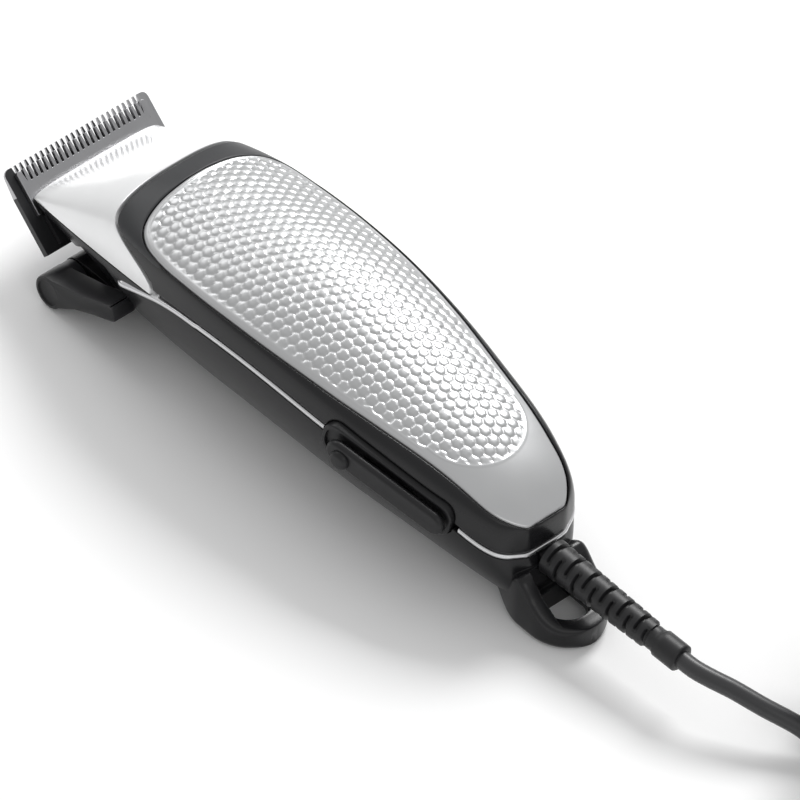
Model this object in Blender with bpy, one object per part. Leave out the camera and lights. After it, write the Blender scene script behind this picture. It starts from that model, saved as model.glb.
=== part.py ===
"""Mains hair clipper with a pivot motor, modelled at its real size.

Points are given as (x, station, height) in millimetres: x across, to the clipper's right; station backwards
from the tips of the comb blade; height above the surface that the clipper lies on. place_point turns them
into Blender's metres, with +Y towards the blades, +Z up and the origin on that surface.
"""

import math

import bmesh
import bpy
import numpy as np
from mathutils import Matrix, Vector

MM = 0.001
TIP_Y = 91.5  # the comb tips lie this far in front of the origin, and the hanging loop ends as far behind it

GAP = 0.3  # between neighbouring pieces
WALL = 2.0

# Seam between the upper and the lower housing: half width in plan, and height.
SEAM_PLAN = [(19.5, 7.6), (22.0, 28.0), (24.2, 53.0), (25.0, 80.0), (23.3, 110.0), (20.0, 133.0),
             (16.8, 150.0), (12.6, 160.8), (6.5, 164.8), (3.0, 165.3)]
SEAM_HEIGHT = [(7.6, 23.4), (30.0, 26.6), (53.0, 29.8), (84.0, 32.8), (113.0, 30.6), (149.0, 24.3),
               (160.0, 20.0), (165.3, 18.4)]
SEAM_BAND = 1.9  # the upright space that the trim strip fills between the two housings

# Crown line of the upper side, and the depth of the keel under the seam.
CROWN_HEIGHT = [(7.6, 24.7), (20.0, 33.6), (30.0, 40.0), (38.0, 44.2), (43.0, 45.5), (60.0, 47.0), (76.0, 47.6),
                (92.7, 47.0), (125.0, 42.0), (148.6, 36.2), (158.0, 31.8), (165.3, 27.0)]
KEEL_HEIGHT = [(7.9, 9.0), (20.0, 5.5), (36.0, 0.8), (50.0, -0.5), (90.0, -0.7), (140.0, -0.5), (165.3, 0.4)]
HULL_POWER = 1.72  # section of the lower housing, as a superellipse
HULL_START = 9.4  # station where its front wall meets the seam
COVER_START = 8.0
COVER_POWER = 2.8
PANEL_BOW = 0.0134  # the grip panel's drop across its width, per millimetre squared

# Grip panel's edge in plan, from its front middle to its rear middle, and the arch where the head cover ends.
PANEL_PLAN = [(3.0, 42.4), (12.0, 42.9), (18.2, 44.8), (21.4, 48.6), (22.8, 54.5), (23.4, 64.0), (23.4, 76.0),
              (22.5, 93.0), (20.4, 111.0), (17.9, 125.5), (13.8, 148.0), (11.3, 158.0), (6.6, 163.8), (2.5, 164.6)]
ARCH_CROWN_STATION = 35.6
ARCH_BOW = 1.2
ARCH_FOOT_STATION = 55.0

LOOP_TOP = [(150.0, 3.5), (158.0, 10.0), (163.0, 13.0), (167.0, 15.0), (172.0, 10.5), (178.0, 6.6), (183.0, 5.6)]

# Blades. Their plane starts at the comb tips and drops backwards at BLADE_SLOPE.
TIP_HEIGHT = 27.0
BLADE_SLOPE = math.radians(40.0)
COMB_WIDTH = 45.0
COMB_DEPTH = 22.4
COMB_THICK = 2.0
TOOTH_PITCH = 1.62
TOOTH_COUNT = 24
TOOTH_LENGTH = 6.0
CUTTER_WIDTH = 40.4
CUTTER_SETBACK = 3.0
CUTTER_DEPTH = 10.0
CUTTER_THICK = 1.3
CUTTER_GAP = 0.25

# Taper lever: its shaft lies across the chin of the lower housing.
SHAFT_STATION = 20.9
SHAFT_HEIGHT = 5.0
LEVER_OUTER_X = -25.5
LEVER_WIDTH = 7.0
LEVER_HUB_RADIUS = 4.5
LEVER_REACH = 24.4
LEVER_ANGLE = math.radians(24.0)

# Power switch, on the left side under the seam.
SWITCH_FRONT = (-23.4, 114.5, 30.3)
SWITCH_REAR = (-18.0, 150.0, 24.2)
SWITCH_LENGTH = 34.5
SWITCH_HEIGHT = 6.6
SWITCH_TRAVEL = 3.5

# Pivot motor.
ARMATURE_PIVOT = (9.5, 118.0)
MOTOR_HEIGHT = 19.5

# Cord, strain relief, coil and plug.
CORD_DIAMETER = 4.6
RELIEF_START = (0.0, 167.3, 16.4)
RELIEF_END = (2.3, 208.7, 14.0)
CORD_ROUTE = [(2.6, 212.5, 13.7), (4.1, 217.0, 13.0), (6.4, 222.0, 11.9), (9.3, 229.0, 10.0), (13.4, 237.0, 7.3),
              (13.95, 238.6, 6.8)]
COIL_CENTRE = (41.0, 253.0)
COIL_MIDDLE_RADIUS = 23.0
COIL_TURNS_ACROSS = 2
COIL_LAYERS = 6
COIL_BASE = 0.7  # clear of the floor by the strap around it
TURN_PITCH = 4.7
PLUG_AXIS_X = 52.4
PLUG_ENTRY_STATION = 260.0
PLUG_HEIGHT = 35.8
PLUG_LENGTH = 30.3


# --- meshes and objects -------------------------------------------------------------------------------------


def place_point(point):
    x, station, height = point
    return Vector((x, TIP_Y - station, height)) * MM


def clear_scene():
    for obj in list(bpy.data.objects):
        bpy.data.objects.remove(obj, do_unlink=True)


def material(name, colour, roughness, metallic=0.0):
    found = bpy.data.materials.get(name)
    if found:
        return found
    made = bpy.data.materials.new(name)
    made.use_nodes = True
    shader = made.node_tree.nodes["Principled BSDF"]
    shader.inputs["Base Color"].default_value = (*colour, 1.0)
    shader.inputs["Roughness"].default_value = roughness
    shader.inputs["Metallic"].default_value = metallic
    return made


def charcoal():
    return material("charcoal_plastic", (0.022, 0.023, 0.025), 0.38)


def black():
    return material("black_plastic", (0.012, 0.012, 0.013), 0.45)


def silver_gloss():
    return material("white_silver_gloss", (0.78, 0.79, 0.80), 0.16, 0.25)


def silver_satin():
    return material("silver_satin", (0.58, 0.59, 0.60), 0.32, 0.7)


def blade_steel():
    return material("blade_steel", (0.42, 0.42, 0.43), 0.3, 1.0)


def zinc_steel():
    return material("zinc_steel", (0.5, 0.5, 0.52), 0.35, 1.0)


def spring_steel():
    return material("spring_steel", (0.33, 0.34, 0.37), 0.3, 1.0)


def lamination_steel():
    return material("lamination_steel", (0.2, 0.2, 0.22), 0.45, 0.9)


def copper():
    return material("copper_winding", (0.55, 0.24, 0.1), 0.35, 0.9)


def nylon():
    return material("white_nylon", (0.8, 0.79, 0.74), 0.45)


def rubber():
    return material("cord_rubber", (0.016, 0.016, 0.017), 0.55)


def nickel():
    return material("nickel_pin", (0.7, 0.68, 0.64), 0.22, 1.0)


def add_object(name, mesh, surface, origin=None, smooth_angle=38.0):
    """A node whose origin is at the given point; the mesh is already in place in world metres."""
    mesh.validate()
    if origin is not None:
        mesh.transform(Matrix.Translation(-origin))
    mesh.shade_smooth()
    mesh.set_sharp_from_angle(angle=math.radians(smooth_angle))
    obj = bpy.data.objects.new(name, mesh)
    if origin is not None:
        obj.location = origin
    mesh.materials.append(surface)
    bpy.context.scene.collection.objects.link(obj)
    return obj


def mesh_of(name, points, faces, matrix=None):
    """A closed mesh from points that are already in metres, its faces turned outwards."""
    mesh = bpy.data.meshes.new(name)
    mesh.from_pydata([tuple(point) for point in points], [], faces)
    shape = bmesh.new()
    shape.from_mesh(mesh)
    bmesh.ops.remove_doubles(shape, verts=shape.verts, dist=1e-7)
    bmesh.ops.recalc_face_normals(shape, faces=shape.faces)
    if shape.calc_volume(signed=True) < 0:
        bmesh.ops.reverse_faces(shape, faces=shape.faces)
    shape.to_mesh(mesh)
    shape.free()
    if matrix is not None:
        mesh.transform(matrix)
    return mesh


def strip_faces(first, second, closed=False):
    """Quads between two rows of point numbers."""
    count = len(first) if closed else len(first) - 1
    faces = []
    for i in range(count):
        j = (i + 1) % len(first)
        faces.append((first[i], first[j], second[j], second[i]))
    return faces


def sheet_solid(name, outer, inner):
    """A shell from two matching grids of (x, station, height) points: its two skins and the rim between them."""
    rows, columns = len(outer), len(outer[0])
    points = [place_point(p) for grid in (outer, inner) for row in grid for p in row]
    numbers = np.arange(2 * rows * columns).reshape(2, rows, columns).tolist()
    faces = []
    for side in numbers:
        for a, b in zip(side[:-1], side[1:]):
            faces += strip_faces(a, b)
    for edge in (
        lambda side: side[0],
        lambda side: side[-1],
        lambda side: [row[0] for row in side],
        lambda side: [row[-1] for row in side],
    ):
        faces += strip_faces(edge(numbers[0]), edge(numbers[1]))
    return mesh_of(name, points, faces)


def extruded(name, outline, low, high, matrix):
    """A prism: a closed outline of (a, b) in millimetres, from low to high along the third axis of matrix."""
    count = len(outline)
    points = [(a * MM, b * MM, level * MM) for level in (low, high) for a, b in outline]
    faces = [tuple(range(count)), tuple(range(count, 2 * count))]
    faces += strip_faces(range(count), range(count, 2 * count), closed=True)
    return mesh_of(name, points, faces, matrix)


def turned(name, profile, matrix, sides=20):
    """A turned solid about the third axis of matrix, from (radius, level) points; its ends are flat."""
    points = []
    for radius, level in profile:
        for k in range(sides):
            angle = 2 * math.pi * k / sides
            points.append((radius * math.cos(angle) * MM, radius * math.sin(angle) * MM, level * MM))
    faces = [tuple(range(sides)), tuple(range(len(points) - sides, len(points)))]
    for row in range(len(profile) - 1):
        faces += strip_faces(
            range(row * sides, (row + 1) * sides), range((row + 1) * sides, (row + 2) * sides), closed=True
        )
    return mesh_of(name, points, faces, matrix)


def box_mesh(name, low, high, matrix=None, bevel=0.0):
    """A block between two corners in millimetres, in the axes of matrix, or in (x, station, height)."""
    outline = [(low[0], low[1]), (high[0], low[1]), (high[0], high[1]), (low[0], high[1])]
    if matrix is None:
        corners = [place_point((x, s, z)) for z in (low[2], high[2]) for x, s in outline]
        faces = [(0, 1, 2, 3), (4, 5, 6, 7)] + strip_faces(range(4), range(4, 8), closed=True)
        mesh = mesh_of(name, corners, faces)
    else:
        mesh = extruded(name, outline, low[2], high[2], matrix)
    if bevel:
        shape = bmesh.new()
        shape.from_mesh(mesh)
        bmesh.ops.bevel(
            shape, geom=shape.edges[:], offset=bevel * MM, segments=2, profile=0.5, affect="EDGES"
        )
        shape.to_mesh(mesh)
        shape.free()
    return mesh


def rounded_outline(width, height, radius, steps=5):
    """A rounded rectangle about (0, 0)."""
    outline = []
    for corner, (a, b) in enumerate(((1, 1), (-1, 1), (-1, -1), (1, -1))):
        for k in range(steps + 1):
            angle = math.pi / 2 * (corner + k / steps)
            outline.append((a * (width / 2 - radius) + radius * math.cos(angle),
                            b * (height / 2 - radius) + radius * math.sin(angle)))
    return outline


def frame_matrix(origin, x_axis, z_axis):
    """Axes at a world point: the third along z_axis, the first as near x_axis as it can be."""
    z = Vector(z_axis).normalized()
    y = z.cross(Vector(x_axis)).normalized()
    x = y.cross(z)
    matrix = Matrix((x, y, z)).transposed().to_4x4()
    matrix.translation = origin
    return matrix


def axis_matrix(start, end):
    """Axes whose third runs from one (x, station, height) point to another."""
    a, b = place_point(start), place_point(end)
    along = (b - a).normalized()
    side = (1, 0, 0) if abs(along.x) < 0.9 else (0, 1, 0)
    return frame_matrix(a, side, along)


def helper(obj):
    obj.hide_render = True
    obj.display_type = "WIRE"
    return obj


def combine(obj, mesh, operation):
    """A Boolean modifier with a helper object made from mesh."""
    other = bpy.data.objects.new(f"{obj.name}_{operation.lower()}_{len(obj.modifiers)}", mesh)
    bpy.context.scene.collection.objects.link(other)
    helper(other)
    modifier = obj.modifiers.new(other.name, "BOOLEAN")
    modifier.operation = operation
    modifier.solver = "EXACT"
    modifier.object = other


def cut(obj, *meshes):
    for mesh in meshes:
        combine(obj, mesh, "DIFFERENCE")


def join(obj, *meshes):
    for mesh in meshes:
        combine(obj, mesh, "UNION")


# --- curves and body surfaces -------------------------------------------------------------------------------


def curve_through(points, count):
    """count points spaced along a Catmull-Rom curve through the given ones."""
    p = np.array(points, float)
    ends = np.vstack([2 * p[0] - p[1], p, 2 * p[-1] - p[-2]])
    fine = []
    for a, b, c, d in zip(ends[:-3], ends[1:-2], ends[2:-1], ends[3:]):
        for t in np.linspace(0, 1, 24, endpoint=False):
            fine.append(0.5 * (2 * b + (c - a) * t + (2 * a - 5 * b + 4 * c - d) * t**2
                               + (3 * b - a - 3 * c + d) * t**3))
    fine = np.vstack([fine, p[-1:]])
    lengths = np.concatenate([[0], np.cumsum(np.linalg.norm(np.diff(fine, axis=0), axis=1))])
    wanted = np.linspace(0, lengths[-1], count)
    return np.stack([np.interp(wanted, lengths, fine[:, k]) for k in range(p.shape[1])], 1)


def height_on(table, station):
    """A smooth value at a station, by a cubic through the table's points."""
    stations = np.array([row[0] for row in table])
    values = np.array([row[1] for row in table])
    slopes = np.gradient(values, stations)
    station = min(max(station, stations[0]), stations[-1])
    i = int(min(np.searchsorted(stations, station, "right") - 1, len(table) - 2))
    span = stations[i + 1] - stations[i]
    t = (station - stations[i]) / span
    return float(
        values[i] * (2 * t**3 - 3 * t**2 + 1) + slopes[i] * span * (t**3 - 2 * t**2 + t)
        + values[i + 1] * (3 * t**2 - 2 * t**3) + slopes[i + 1] * span * (t**3 - t**2)
    )


def seam_half_width(station):
    fine = curve_through(SEAM_PLAN, 200)
    return float(np.interp(station, fine[:, 1], fine[:, 0]))


def panel_height(x, station):
    return height_on(CROWN_HEIGHT, station) - PANEL_BOW * x * x


def power_section(angle, power):
    """(across, up) on a unit superellipse; angle 0 is at the seam and pi / 2 at the middle."""
    across = math.copysign(abs(math.cos(angle)) ** (2 / power), math.cos(angle))
    return across, abs(math.sin(angle)) ** (2 / power)


def cover_point(angle, station, inset=0.0):
    """On the head cover's surface: angle 0 is the left seam, pi the right one."""
    across, up = power_section(angle, COVER_POWER)
    foot = height_on(SEAM_HEIGHT, station)
    half_width = seam_half_width(station) - inset
    rise = max(height_on(CROWN_HEIGHT, station) - foot, 0.6) - inset
    return np.array([-half_width * across, station, foot + max(rise, 0.2) * up])


def arch_station(angle):
    """The arch bends back a little across the crown, then turns steeply down each side."""
    cosine = abs(math.cos(angle))
    turn = ARCH_FOOT_STATION - ARCH_CROWN_STATION - ARCH_BOW
    return ARCH_CROWN_STATION + ARCH_BOW * cosine**2 + turn * cosine**16


def hull_shear(station):
    """How far the hull's section leans back per millimetre of depth: with the blades in front, and into the tail."""
    front = 1.0 / math.tan(BLADE_SLOPE)
    lean = front * max(0.0, 1.0 - (station - HULL_START) / 30.0) ** 1.5
    return lean + 0.30 * max(0.0, (station - 140.0) / 25.3) ** 2


def hull_point(angle, station, half_width, foot, keel):
    across, down = power_section(angle, HULL_POWER)
    drop = (foot - keel) * down
    height = max(foot - drop, 0.0 if keel < 1.5 else keel)
    return (-half_width * across, station + hull_shear(station) * (foot - height), height)


# --- housings -----------------------------------------------------------------------------------------------


def hull_stations(front, rear, count):
    """Stations that crowd together where the seam turns its rear corners."""
    share = np.linspace(0, 1, count)
    return front + (rear - front) * np.sin(share * math.pi / 2) ** 0.92


def wall_faces(section):
    """Fills a U-shaped section with rungs from its left side to its right."""
    half = len(section) // 2
    left, right = section[: half + 1], section[::-1][: half + 1]
    faces = strip_faces(left[:-1], right[:-1])
    faces.append((left[-2], left[-1], right[-2]))
    return faces


def tub_mesh(name, outer_rows, inner_rows):
    """An open tub: an outer and an inner row of U-shaped sections, end walls, and the rim between them."""
    rows, columns = len(outer_rows), len(outer_rows[0])
    points = [place_point(p) for grid in (outer_rows, inner_rows) for row in grid for p in row]
    numbers = np.arange(2 * rows * columns).reshape(2, rows, columns).tolist()
    faces = []
    for side in numbers:
        for a, b in zip(side[:-1], side[1:]):
            faces += strip_faces(a, b)
        faces += wall_faces(side[0]) + wall_faces(side[-1])
    rims = []
    for side in numbers:
        rims.append([row[0] for row in side] + [row[-1] for row in reversed(side)])
    faces += strip_faces(rims[0], rims[1], closed=True)
    return mesh_of(name, points, faces)


def lower_housing():
    """The hull under the seam, with the chin that holds the taper shaft and the hanging loop at the tail."""
    angles = np.linspace(0, math.pi, 17)
    outer, inner = [], []
    for station in hull_stations(HULL_START, 165.3, 24):
        foot = height_on(SEAM_HEIGHT, station) - SEAM_BAND / 2
        keel = height_on(KEEL_HEIGHT, station)
        outer.append([hull_point(a, station, seam_half_width(station), foot, keel) for a in angles])
    for station in hull_stations(HULL_START + 3.2, 162.0, 24):
        foot = height_on(SEAM_HEIGHT, station) - SEAM_BAND / 2
        keel = max(height_on(KEEL_HEIGHT, station), 0.0) + WALL
        open_share = min(max((station - 50.0) / 12.0, 0.0), 1.0)
        bay_width = 12.5
        half_width = bay_width + (seam_half_width(station) - WALL - 0.6 - bay_width) * open_share
        inner.append([hull_point(a, station, half_width, foot, keel) for a in angles])
    obj = add_object("lower_housing", tub_mesh("lower_housing", outer, inner), charcoal())
    join(obj, chin_mesh(), loop_mesh())
    cut(obj, loop_hole_mesh(), tail_scoop_mesh(), *lever_bay_meshes(), blade_window_mesh(), cam_slot_mesh(),
        shaft_hole_mesh(), switch_bay_mesh(), relief_hole_mesh(), power_screw_hole(), *housing_screw_holes(),
        *blade_screw_holes())
    return obj


def chin_mesh():
    """A rounded bar across the front of the belly, around the taper shaft."""
    radius = 4.6
    outline = [(SHAFT_STATION + 13.0, SHAFT_HEIGHT - radius), (SHAFT_STATION + 13.0, SHAFT_HEIGHT + radius)]
    for k in range(9):
        angle = math.pi / 2 + math.pi * k / 8
        outline.append((SHAFT_STATION + radius * math.cos(angle), SHAFT_HEIGHT + radius * math.sin(angle)))
    return side_prism("chin", outline, -15.8, 17.0)


def side_prism(name, outline, left, right):
    """A prism across the clipper from an outline of (station, height)."""
    points = [place_point((x, station, height)) for x in (left, right) for station, height in outline]
    count = len(outline)
    faces = [tuple(range(count)), tuple(range(count, 2 * count))]
    faces += strip_faces(range(count), range(count, 2 * count), closed=True)
    return mesh_of(name, points, faces)


def loop_outline(half_width, end_station, start_station):
    """A U in plan, round at its rear end."""
    outline = [(half_width, start_station)]
    centre = end_station - half_width
    for k in range(13):
        angle = math.pi * k / 12
        outline.append((half_width * math.cos(angle), centre + half_width * math.sin(angle)))
    outline.append((-half_width, start_station))
    return outline


def plan_prism(name, outline, low, high):
    points = [place_point((x, station, level)) for level in (low, high) for x, station in outline]
    count = len(outline)
    faces = [tuple(range(count)), tuple(range(count, 2 * count))]
    faces += strip_faces(range(count), range(count, 2 * count), closed=True)
    return mesh_of(name, points, faces)


def loop_mesh():
    """The hanging loop's body: a tongue that widens out of the belly and ends in a half round."""
    radius = 10.5
    centre = 2 * TIP_Y - radius
    arc = [centre + radius * math.sin(math.radians(a)) for a in (16, 32, 48, 63, 76, 86)]
    points = []
    stations = list(np.linspace(150.0, centre, 9)) + arc
    for station in stations:
        share = min((station - 150.0) / 18.0, 1.0)
        if station > centre:
            width = math.sqrt(radius**2 - (station - centre) ** 2)
        else:
            width = 4.0 + (radius - 4.0) * share * share * (3 - 2 * share)
        top = height_on(LOOP_TOP, station)
        edge = min(1.0, width / 3)
        right = [(width - edge, 0.05), (width, edge), (width, top - edge), (width - edge, top)]
        section = right + [(-x, z) for x, z in reversed(right)]
        points += [place_point((x, station, z)) for x, z in section]
    numbers = np.arange(len(points)).reshape(len(stations), 8).tolist()
    faces = [tuple(numbers[0]), tuple(numbers[-1])]
    for first, second in zip(numbers[:-1], numbers[1:]):
        faces += strip_faces(first, second, closed=True)
    return mesh_of("loop_block", points, faces)


def loop_hole_mesh():
    return plan_prism("loop_hole", loop_outline(5.2, 178.0, 168.3), -2.0, 20.0)


def tail_scoop_mesh():
    """Clears the space over the loop where the strain relief comes out."""
    return box_mesh("tail_scoop", (-6.6, 166.7, 6.2), (6.6, 190.0, 30.0))


def lever_bay_meshes():
    """The recess on the left side where the taper lever swings, behind the slanted cheek."""
    outline = [(15.5, 11.5), (27.5, 23.0), (36.6, 24.0), (39.2, 22.8), (42.4, 19.2), (44.8, 14.4), (46.2, 9.0), (46.6, -2.0),
               (10.0, -2.0), (10.0, 6.0)]
    return [side_prism("lever_bay", outline, -40.0, -16.2)]


def blade_window_mesh():
    """Opening in the front wall for the drive arm."""
    return box_mesh("blade_window", (-8.6, 1.0, 15.2), (8.6, 25.0, 33.0))


def cam_slot_mesh():
    return box_mesh("cam_slot", (-5.5, 10.0, -3.0), (5.5, 27.3, 14.2))


def shaft_hole_mesh():
    return turned("shaft_hole", [(1.8, 0.0), (1.8, 33.8)],
                  axis_matrix((-17.0, SHAFT_STATION, SHAFT_HEIGHT), (20.0, SHAFT_STATION, SHAFT_HEIGHT)), 12)


def relief_hole_mesh():
    """A notch in the tail's rim for the root of the strain relief."""
    return box_mesh("relief_hole", (-2.8, 158.0, 12.0), (2.8, 175.0, 19.0))


HOUSING_SCREWS = {"housing_screw_front": (0.0, 56.0), "housing_screw_middle": (0.0, 115.0),
                  "housing_screw_rear": (0.0, 142.0)}


def housing_screw_holes():
    holes = []
    for name, (x, station) in HOUSING_SCREWS.items():
        profile = [(3.5, -2.0), (3.5, 1.2), (1.7, 1.2), (1.7, 12.0)]
        holes.append(turned(f"{name}_hole", profile, axis_matrix((x, station, 0.0), (x, station, 9.0)), 12))
    return holes


def switch_matrix():
    """Axes of the switch: the first forwards along it, the third out of the side."""
    front, rear = place_point(SWITCH_FRONT), place_point(SWITCH_REAR)
    middle = (front + rear) / 2
    return frame_matrix(middle, (front - rear), (-0.94, -0.16, -0.04))


def switch_bay_mesh():
    return extruded("switch_bay", rounded_outline(38.6, 10.6, 4.0), -8.0, 8.0, switch_matrix())


def grip_frame():
    """The black ring around the panel: a band that turns down to the seam and arches over the head."""
    tops, bottoms, flats = ring_edges()
    along = np.roll(bottoms, -1, axis=0) - np.roll(bottoms, 1, axis=0)
    inwards = np.stack([-along[:, 1], along[:, 0], 0 * along[:, 0]], 1)
    inwards /= np.linalg.norm(inwards, axis=1)[:, None]
    outer, inner = [], []
    for top, bottom, flat, inward in zip(tops, bottoms, flats, inwards):
        row, under = [], []
        for t in np.linspace(0, 1, 6):
            out = (1 - flat) * math.sin(math.pi * t / 2) + flat * t
            down = (1 - flat) * (1 - math.cos(math.pi * t / 2)) + flat * t
            point = top + (bottom - top) * np.array([out, out, down])
            turn = t * (1 - flat)
            depth = inward * turn + np.array([0.0, 0.0, turn - 1])
            row.append(point)
            under.append(point + WALL * depth / np.linalg.norm(depth))
        outer.append(row)
        inner.append(under)
    obj = add_object("grip_frame", ring_mesh("grip_frame", outer, inner), charcoal())
    cut(obj, switch_bay_mesh())
    return obj


def ring_mesh(name, outer, inner):
    """A closed band from matching rings of points."""
    rows, columns = len(outer), len(outer[0])
    points = [place_point(p) for grid in (outer, inner) for row in grid for p in row]
    numbers = np.arange(2 * rows * columns).reshape(2, rows, columns)
    faces = []
    for side in numbers:
        for column in range(columns - 1):
            faces += strip_faces(side[:, column].tolist(), side[:, column + 1].tolist(), closed=True)
    for column in (0, columns - 1):
        faces += strip_faces(numbers[0][:, column].tolist(), numbers[1][:, column].tolist(), closed=True)
    return mesh_of(name, points, faces)


def ring_edges():
    """Matching points around the band, at the panel's edge and at the arch or seam, and how flat it lies there."""
    count, front = 38, 9
    tops = panel_edge(count, GAP)
    bottoms, flats = [], []
    for k in range(front):
        angle = math.pi / 2 * (1 + (k + 0.5) / front)
        bottoms.append(cover_point(angle, arch_station(angle)))
        flats.append(math.sin(angle) ** 0.8)
    bottoms += seam_edge_points(ARCH_FOOT_STATION + GAP, count - front, SEAM_BAND / 2)
    flats += [0.0] * (count - front)
    mirror = np.array([-1, 1, 1])
    tops += [top * mirror for top in reversed(tops)]
    bottoms += [bottom * mirror for bottom in reversed(bottoms)]
    return np.array(tops), np.array(bottoms), flats + flats[::-1]


def panel_edge(count, outset):
    """Points on the right half of the panel's edge, moved outwards in plan by outset."""
    plan = curve_through(PANEL_PLAN, count)
    along = np.gradient(plan, axis=0)
    along /= np.linalg.norm(along, axis=1)[:, None]
    moved = plan + outset * np.stack([along[:, 1], -along[:, 0]], 1)
    return [np.array([x, s, panel_height(x, s)]) for x, s in moved]


def seam_edge_points(start, count, lift):
    """Points on the right half of the seam from a station to the rear middle."""
    fine = curve_through(SEAM_PLAN, 400)
    tail = fine[fine[:, 1] >= start]
    points = curve_through(tail[::6].tolist() + [tail[-1].tolist()], count)
    return [np.array([x, s, height_on(SEAM_HEIGHT, s) + lift]) for x, s in points]


def grip_panel():
    """The inset panel: a bowed plate that the ring holds."""
    rows, under = [], []
    for x, station, height in panel_edge(38, 0.0):
        rows.append([(x * u, station, panel_height(x * u, station)) for u in np.linspace(-1, 1, 13)])
        under.append([(a, s, z - 1.8) for a, s, z in rows[-1]])
    return add_object("grip_panel", sheet_solid("grip_panel", rows, under), silver_satin())


def head_cover():
    """The glossy cover between the blades and the arch."""
    outer, inner = [], []
    angles = np.radians([0, *range(5, 180, 10), 180])
    lift = np.array([0.0, 0.0, GAP - SEAM_BAND / 2])
    for share in np.linspace(0, 1, 9):
        row, under = [], []
        for angle in angles:
            station = COVER_START + (arch_station(angle) - 3 * GAP - COVER_START) * share
            foot = lift * (abs(math.cos(angle)) ** 6)
            row.append(cover_point(angle, station) + foot)
            below = cover_point(angle, station, 1.7 if station > 12 else 1.1)
            under.append(np.array([below[0], station, max(below[2] - 0.0, row[-1][2] - 30) + foot[2]]))
        outer.append(row)
        inner.append(under)
    obj = add_object("head_cover", sheet_solid("head_cover", outer, inner), silver_gloss())
    return obj


# --- trim, switch and panel fittings ------------------------------------------------------------------------


def trim_strip(name, plan_points):
    """A strip that lies along the seam between the housings, a little proud of them."""
    points = np.array(plan_points)
    along = np.gradient(points, axis=0)
    along /= np.linalg.norm(along[:, :2], axis=1)[:, None]
    outward = np.stack([along[:, 1], -along[:, 0], 0 * along[:, 0]], 1)
    half = SEAM_BAND / 2 - GAP
    rows = []
    for point, out in zip(points, outward):
        proud, deep = point + out * 0.2, point - out * 1.5
        deep[2] = (deep[2] + height_on(SEAM_HEIGHT, deep[1])) / 2
        rows.append([proud + [0, 0, half], proud - [0, 0, half], deep - [0, 0, half], deep + [0, 0, half]])
    flat = [place_point(p) for row in rows for p in row]
    numbers = np.arange(len(flat)).reshape(-1, 4).tolist()
    faces = [tuple(numbers[0]), tuple(numbers[-1])]
    for a, b in zip(numbers[:-1], numbers[1:]):
        faces += strip_faces(a, b, closed=True)
    return add_object(name, mesh_of(name, flat, faces), silver_satin())


def seam_run(start, end, side, count):
    """Points on one side of the seam between two stations."""
    points = []
    for station in np.linspace(start, end, count):
        points.append((side * seam_half_width(station), station, height_on(SEAM_HEIGHT, station)))
    return points


def trims():
    """The bright line along the seam, broken on the left side by the switch."""
    front_left = [(x, s, z) for x, s, z in reversed(seam_run(ARCH_FOOT_STATION + 1, 113.0, -1, 12))]
    trim_strip("trim_left", front_left)
    half = seam_edge_points(151.8, 9, 0.0)
    right = seam_run(ARCH_FOOT_STATION + 1, 150.0, 1, 18)
    rear = [tuple(p) for p in half] + [(-x, s, z) for x, s, z in reversed(half)]
    trim_strip("trim_rear", right + rear)


def switch_bezel():
    """The recessed plate under the slide switch, with the slot that its stem passes."""
    matrix = switch_matrix()
    obj = add_object("switch_bezel", extruded("switch_bezel", rounded_outline(38.0, 10.0, 3.7), -3.2, 0.4, matrix),
                     black())
    cut(obj, extruded("bezel_slot", rounded_outline(16.0, 3.4, 1.5, 3), -5.0, 5.0, matrix))
    return obj


def switch_slider():
    """A long rounded button with a raised nub at its front end and a stem behind it."""
    matrix = switch_matrix() @ Matrix.Translation((-1.2 * MM, 0, 0))
    outline = rounded_outline(SWITCH_LENGTH, SWITCH_HEIGHT, SWITCH_HEIGHT / 2 - 0.05, 6)
    mesh = extruded("switch_slider", outline, 0.7, 3.0, matrix)
    obj = add_object("switch_slider", mesh, black(), matrix.translation)
    nub = Matrix.Translation((12.6 * MM, 0.6 * MM, 0))
    join(obj, turned("slider_nub", [(2.5, 2.0), (2.4, 3.9), (1.5, 4.5)], matrix @ nub, 16),
         box_mesh("slider_stem", (-4.0, -1.2, -4.6), (4.0, 1.2, 1.0), matrix))
    return obj


def switch_body():
    """The slide switch itself, behind the bezel."""
    matrix = switch_matrix()
    obj = add_object("switch_body", box_mesh("switch_body", (-11.0, -3.6, -8.6), (11.0, 3.6, -3.6), matrix), black())
    cut(obj, box_mesh("switch_channel", (-8.4, -1.6, -5.2), (8.4, 1.6, -2.0), matrix))
    return obj


# --- blades -------------------------------------------------------------------------------------------------


def blade_matrix():
    """Axes of the blades: the first to the right, the second towards the tips, the third into the clipper."""
    origin = place_point((0.0, 0.0, TIP_HEIGHT))
    return frame_matrix(origin, (1, 0, 0), (0, -math.sin(BLADE_SLOPE), math.cos(BLADE_SLOPE)))


def toothed_outline(width, depth, teeth, tooth_length, setback):
    """A blade's outline in its own plane: a row of teeth along the front edge, between two blunt end fins."""
    half, row = width / 2, TOOTH_PITCH * teeth / 2
    root = -setback - tooth_length
    right = [(half, -setback - depth), (half, root + 2.5), (half - 0.5, -setback), (row + 0.3, -setback)]
    outline = list(right)
    for k in reversed(range(teeth)):
        centre = TOOTH_PITCH * (k + 0.5) - row
        outline += [(centre + 0.52, root), (centre + 0.3, -setback), (centre - 0.3, -setback),
                    (centre - 0.52, root)]
    return outline + [(-x, y) for x, y in reversed(right)]


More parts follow.
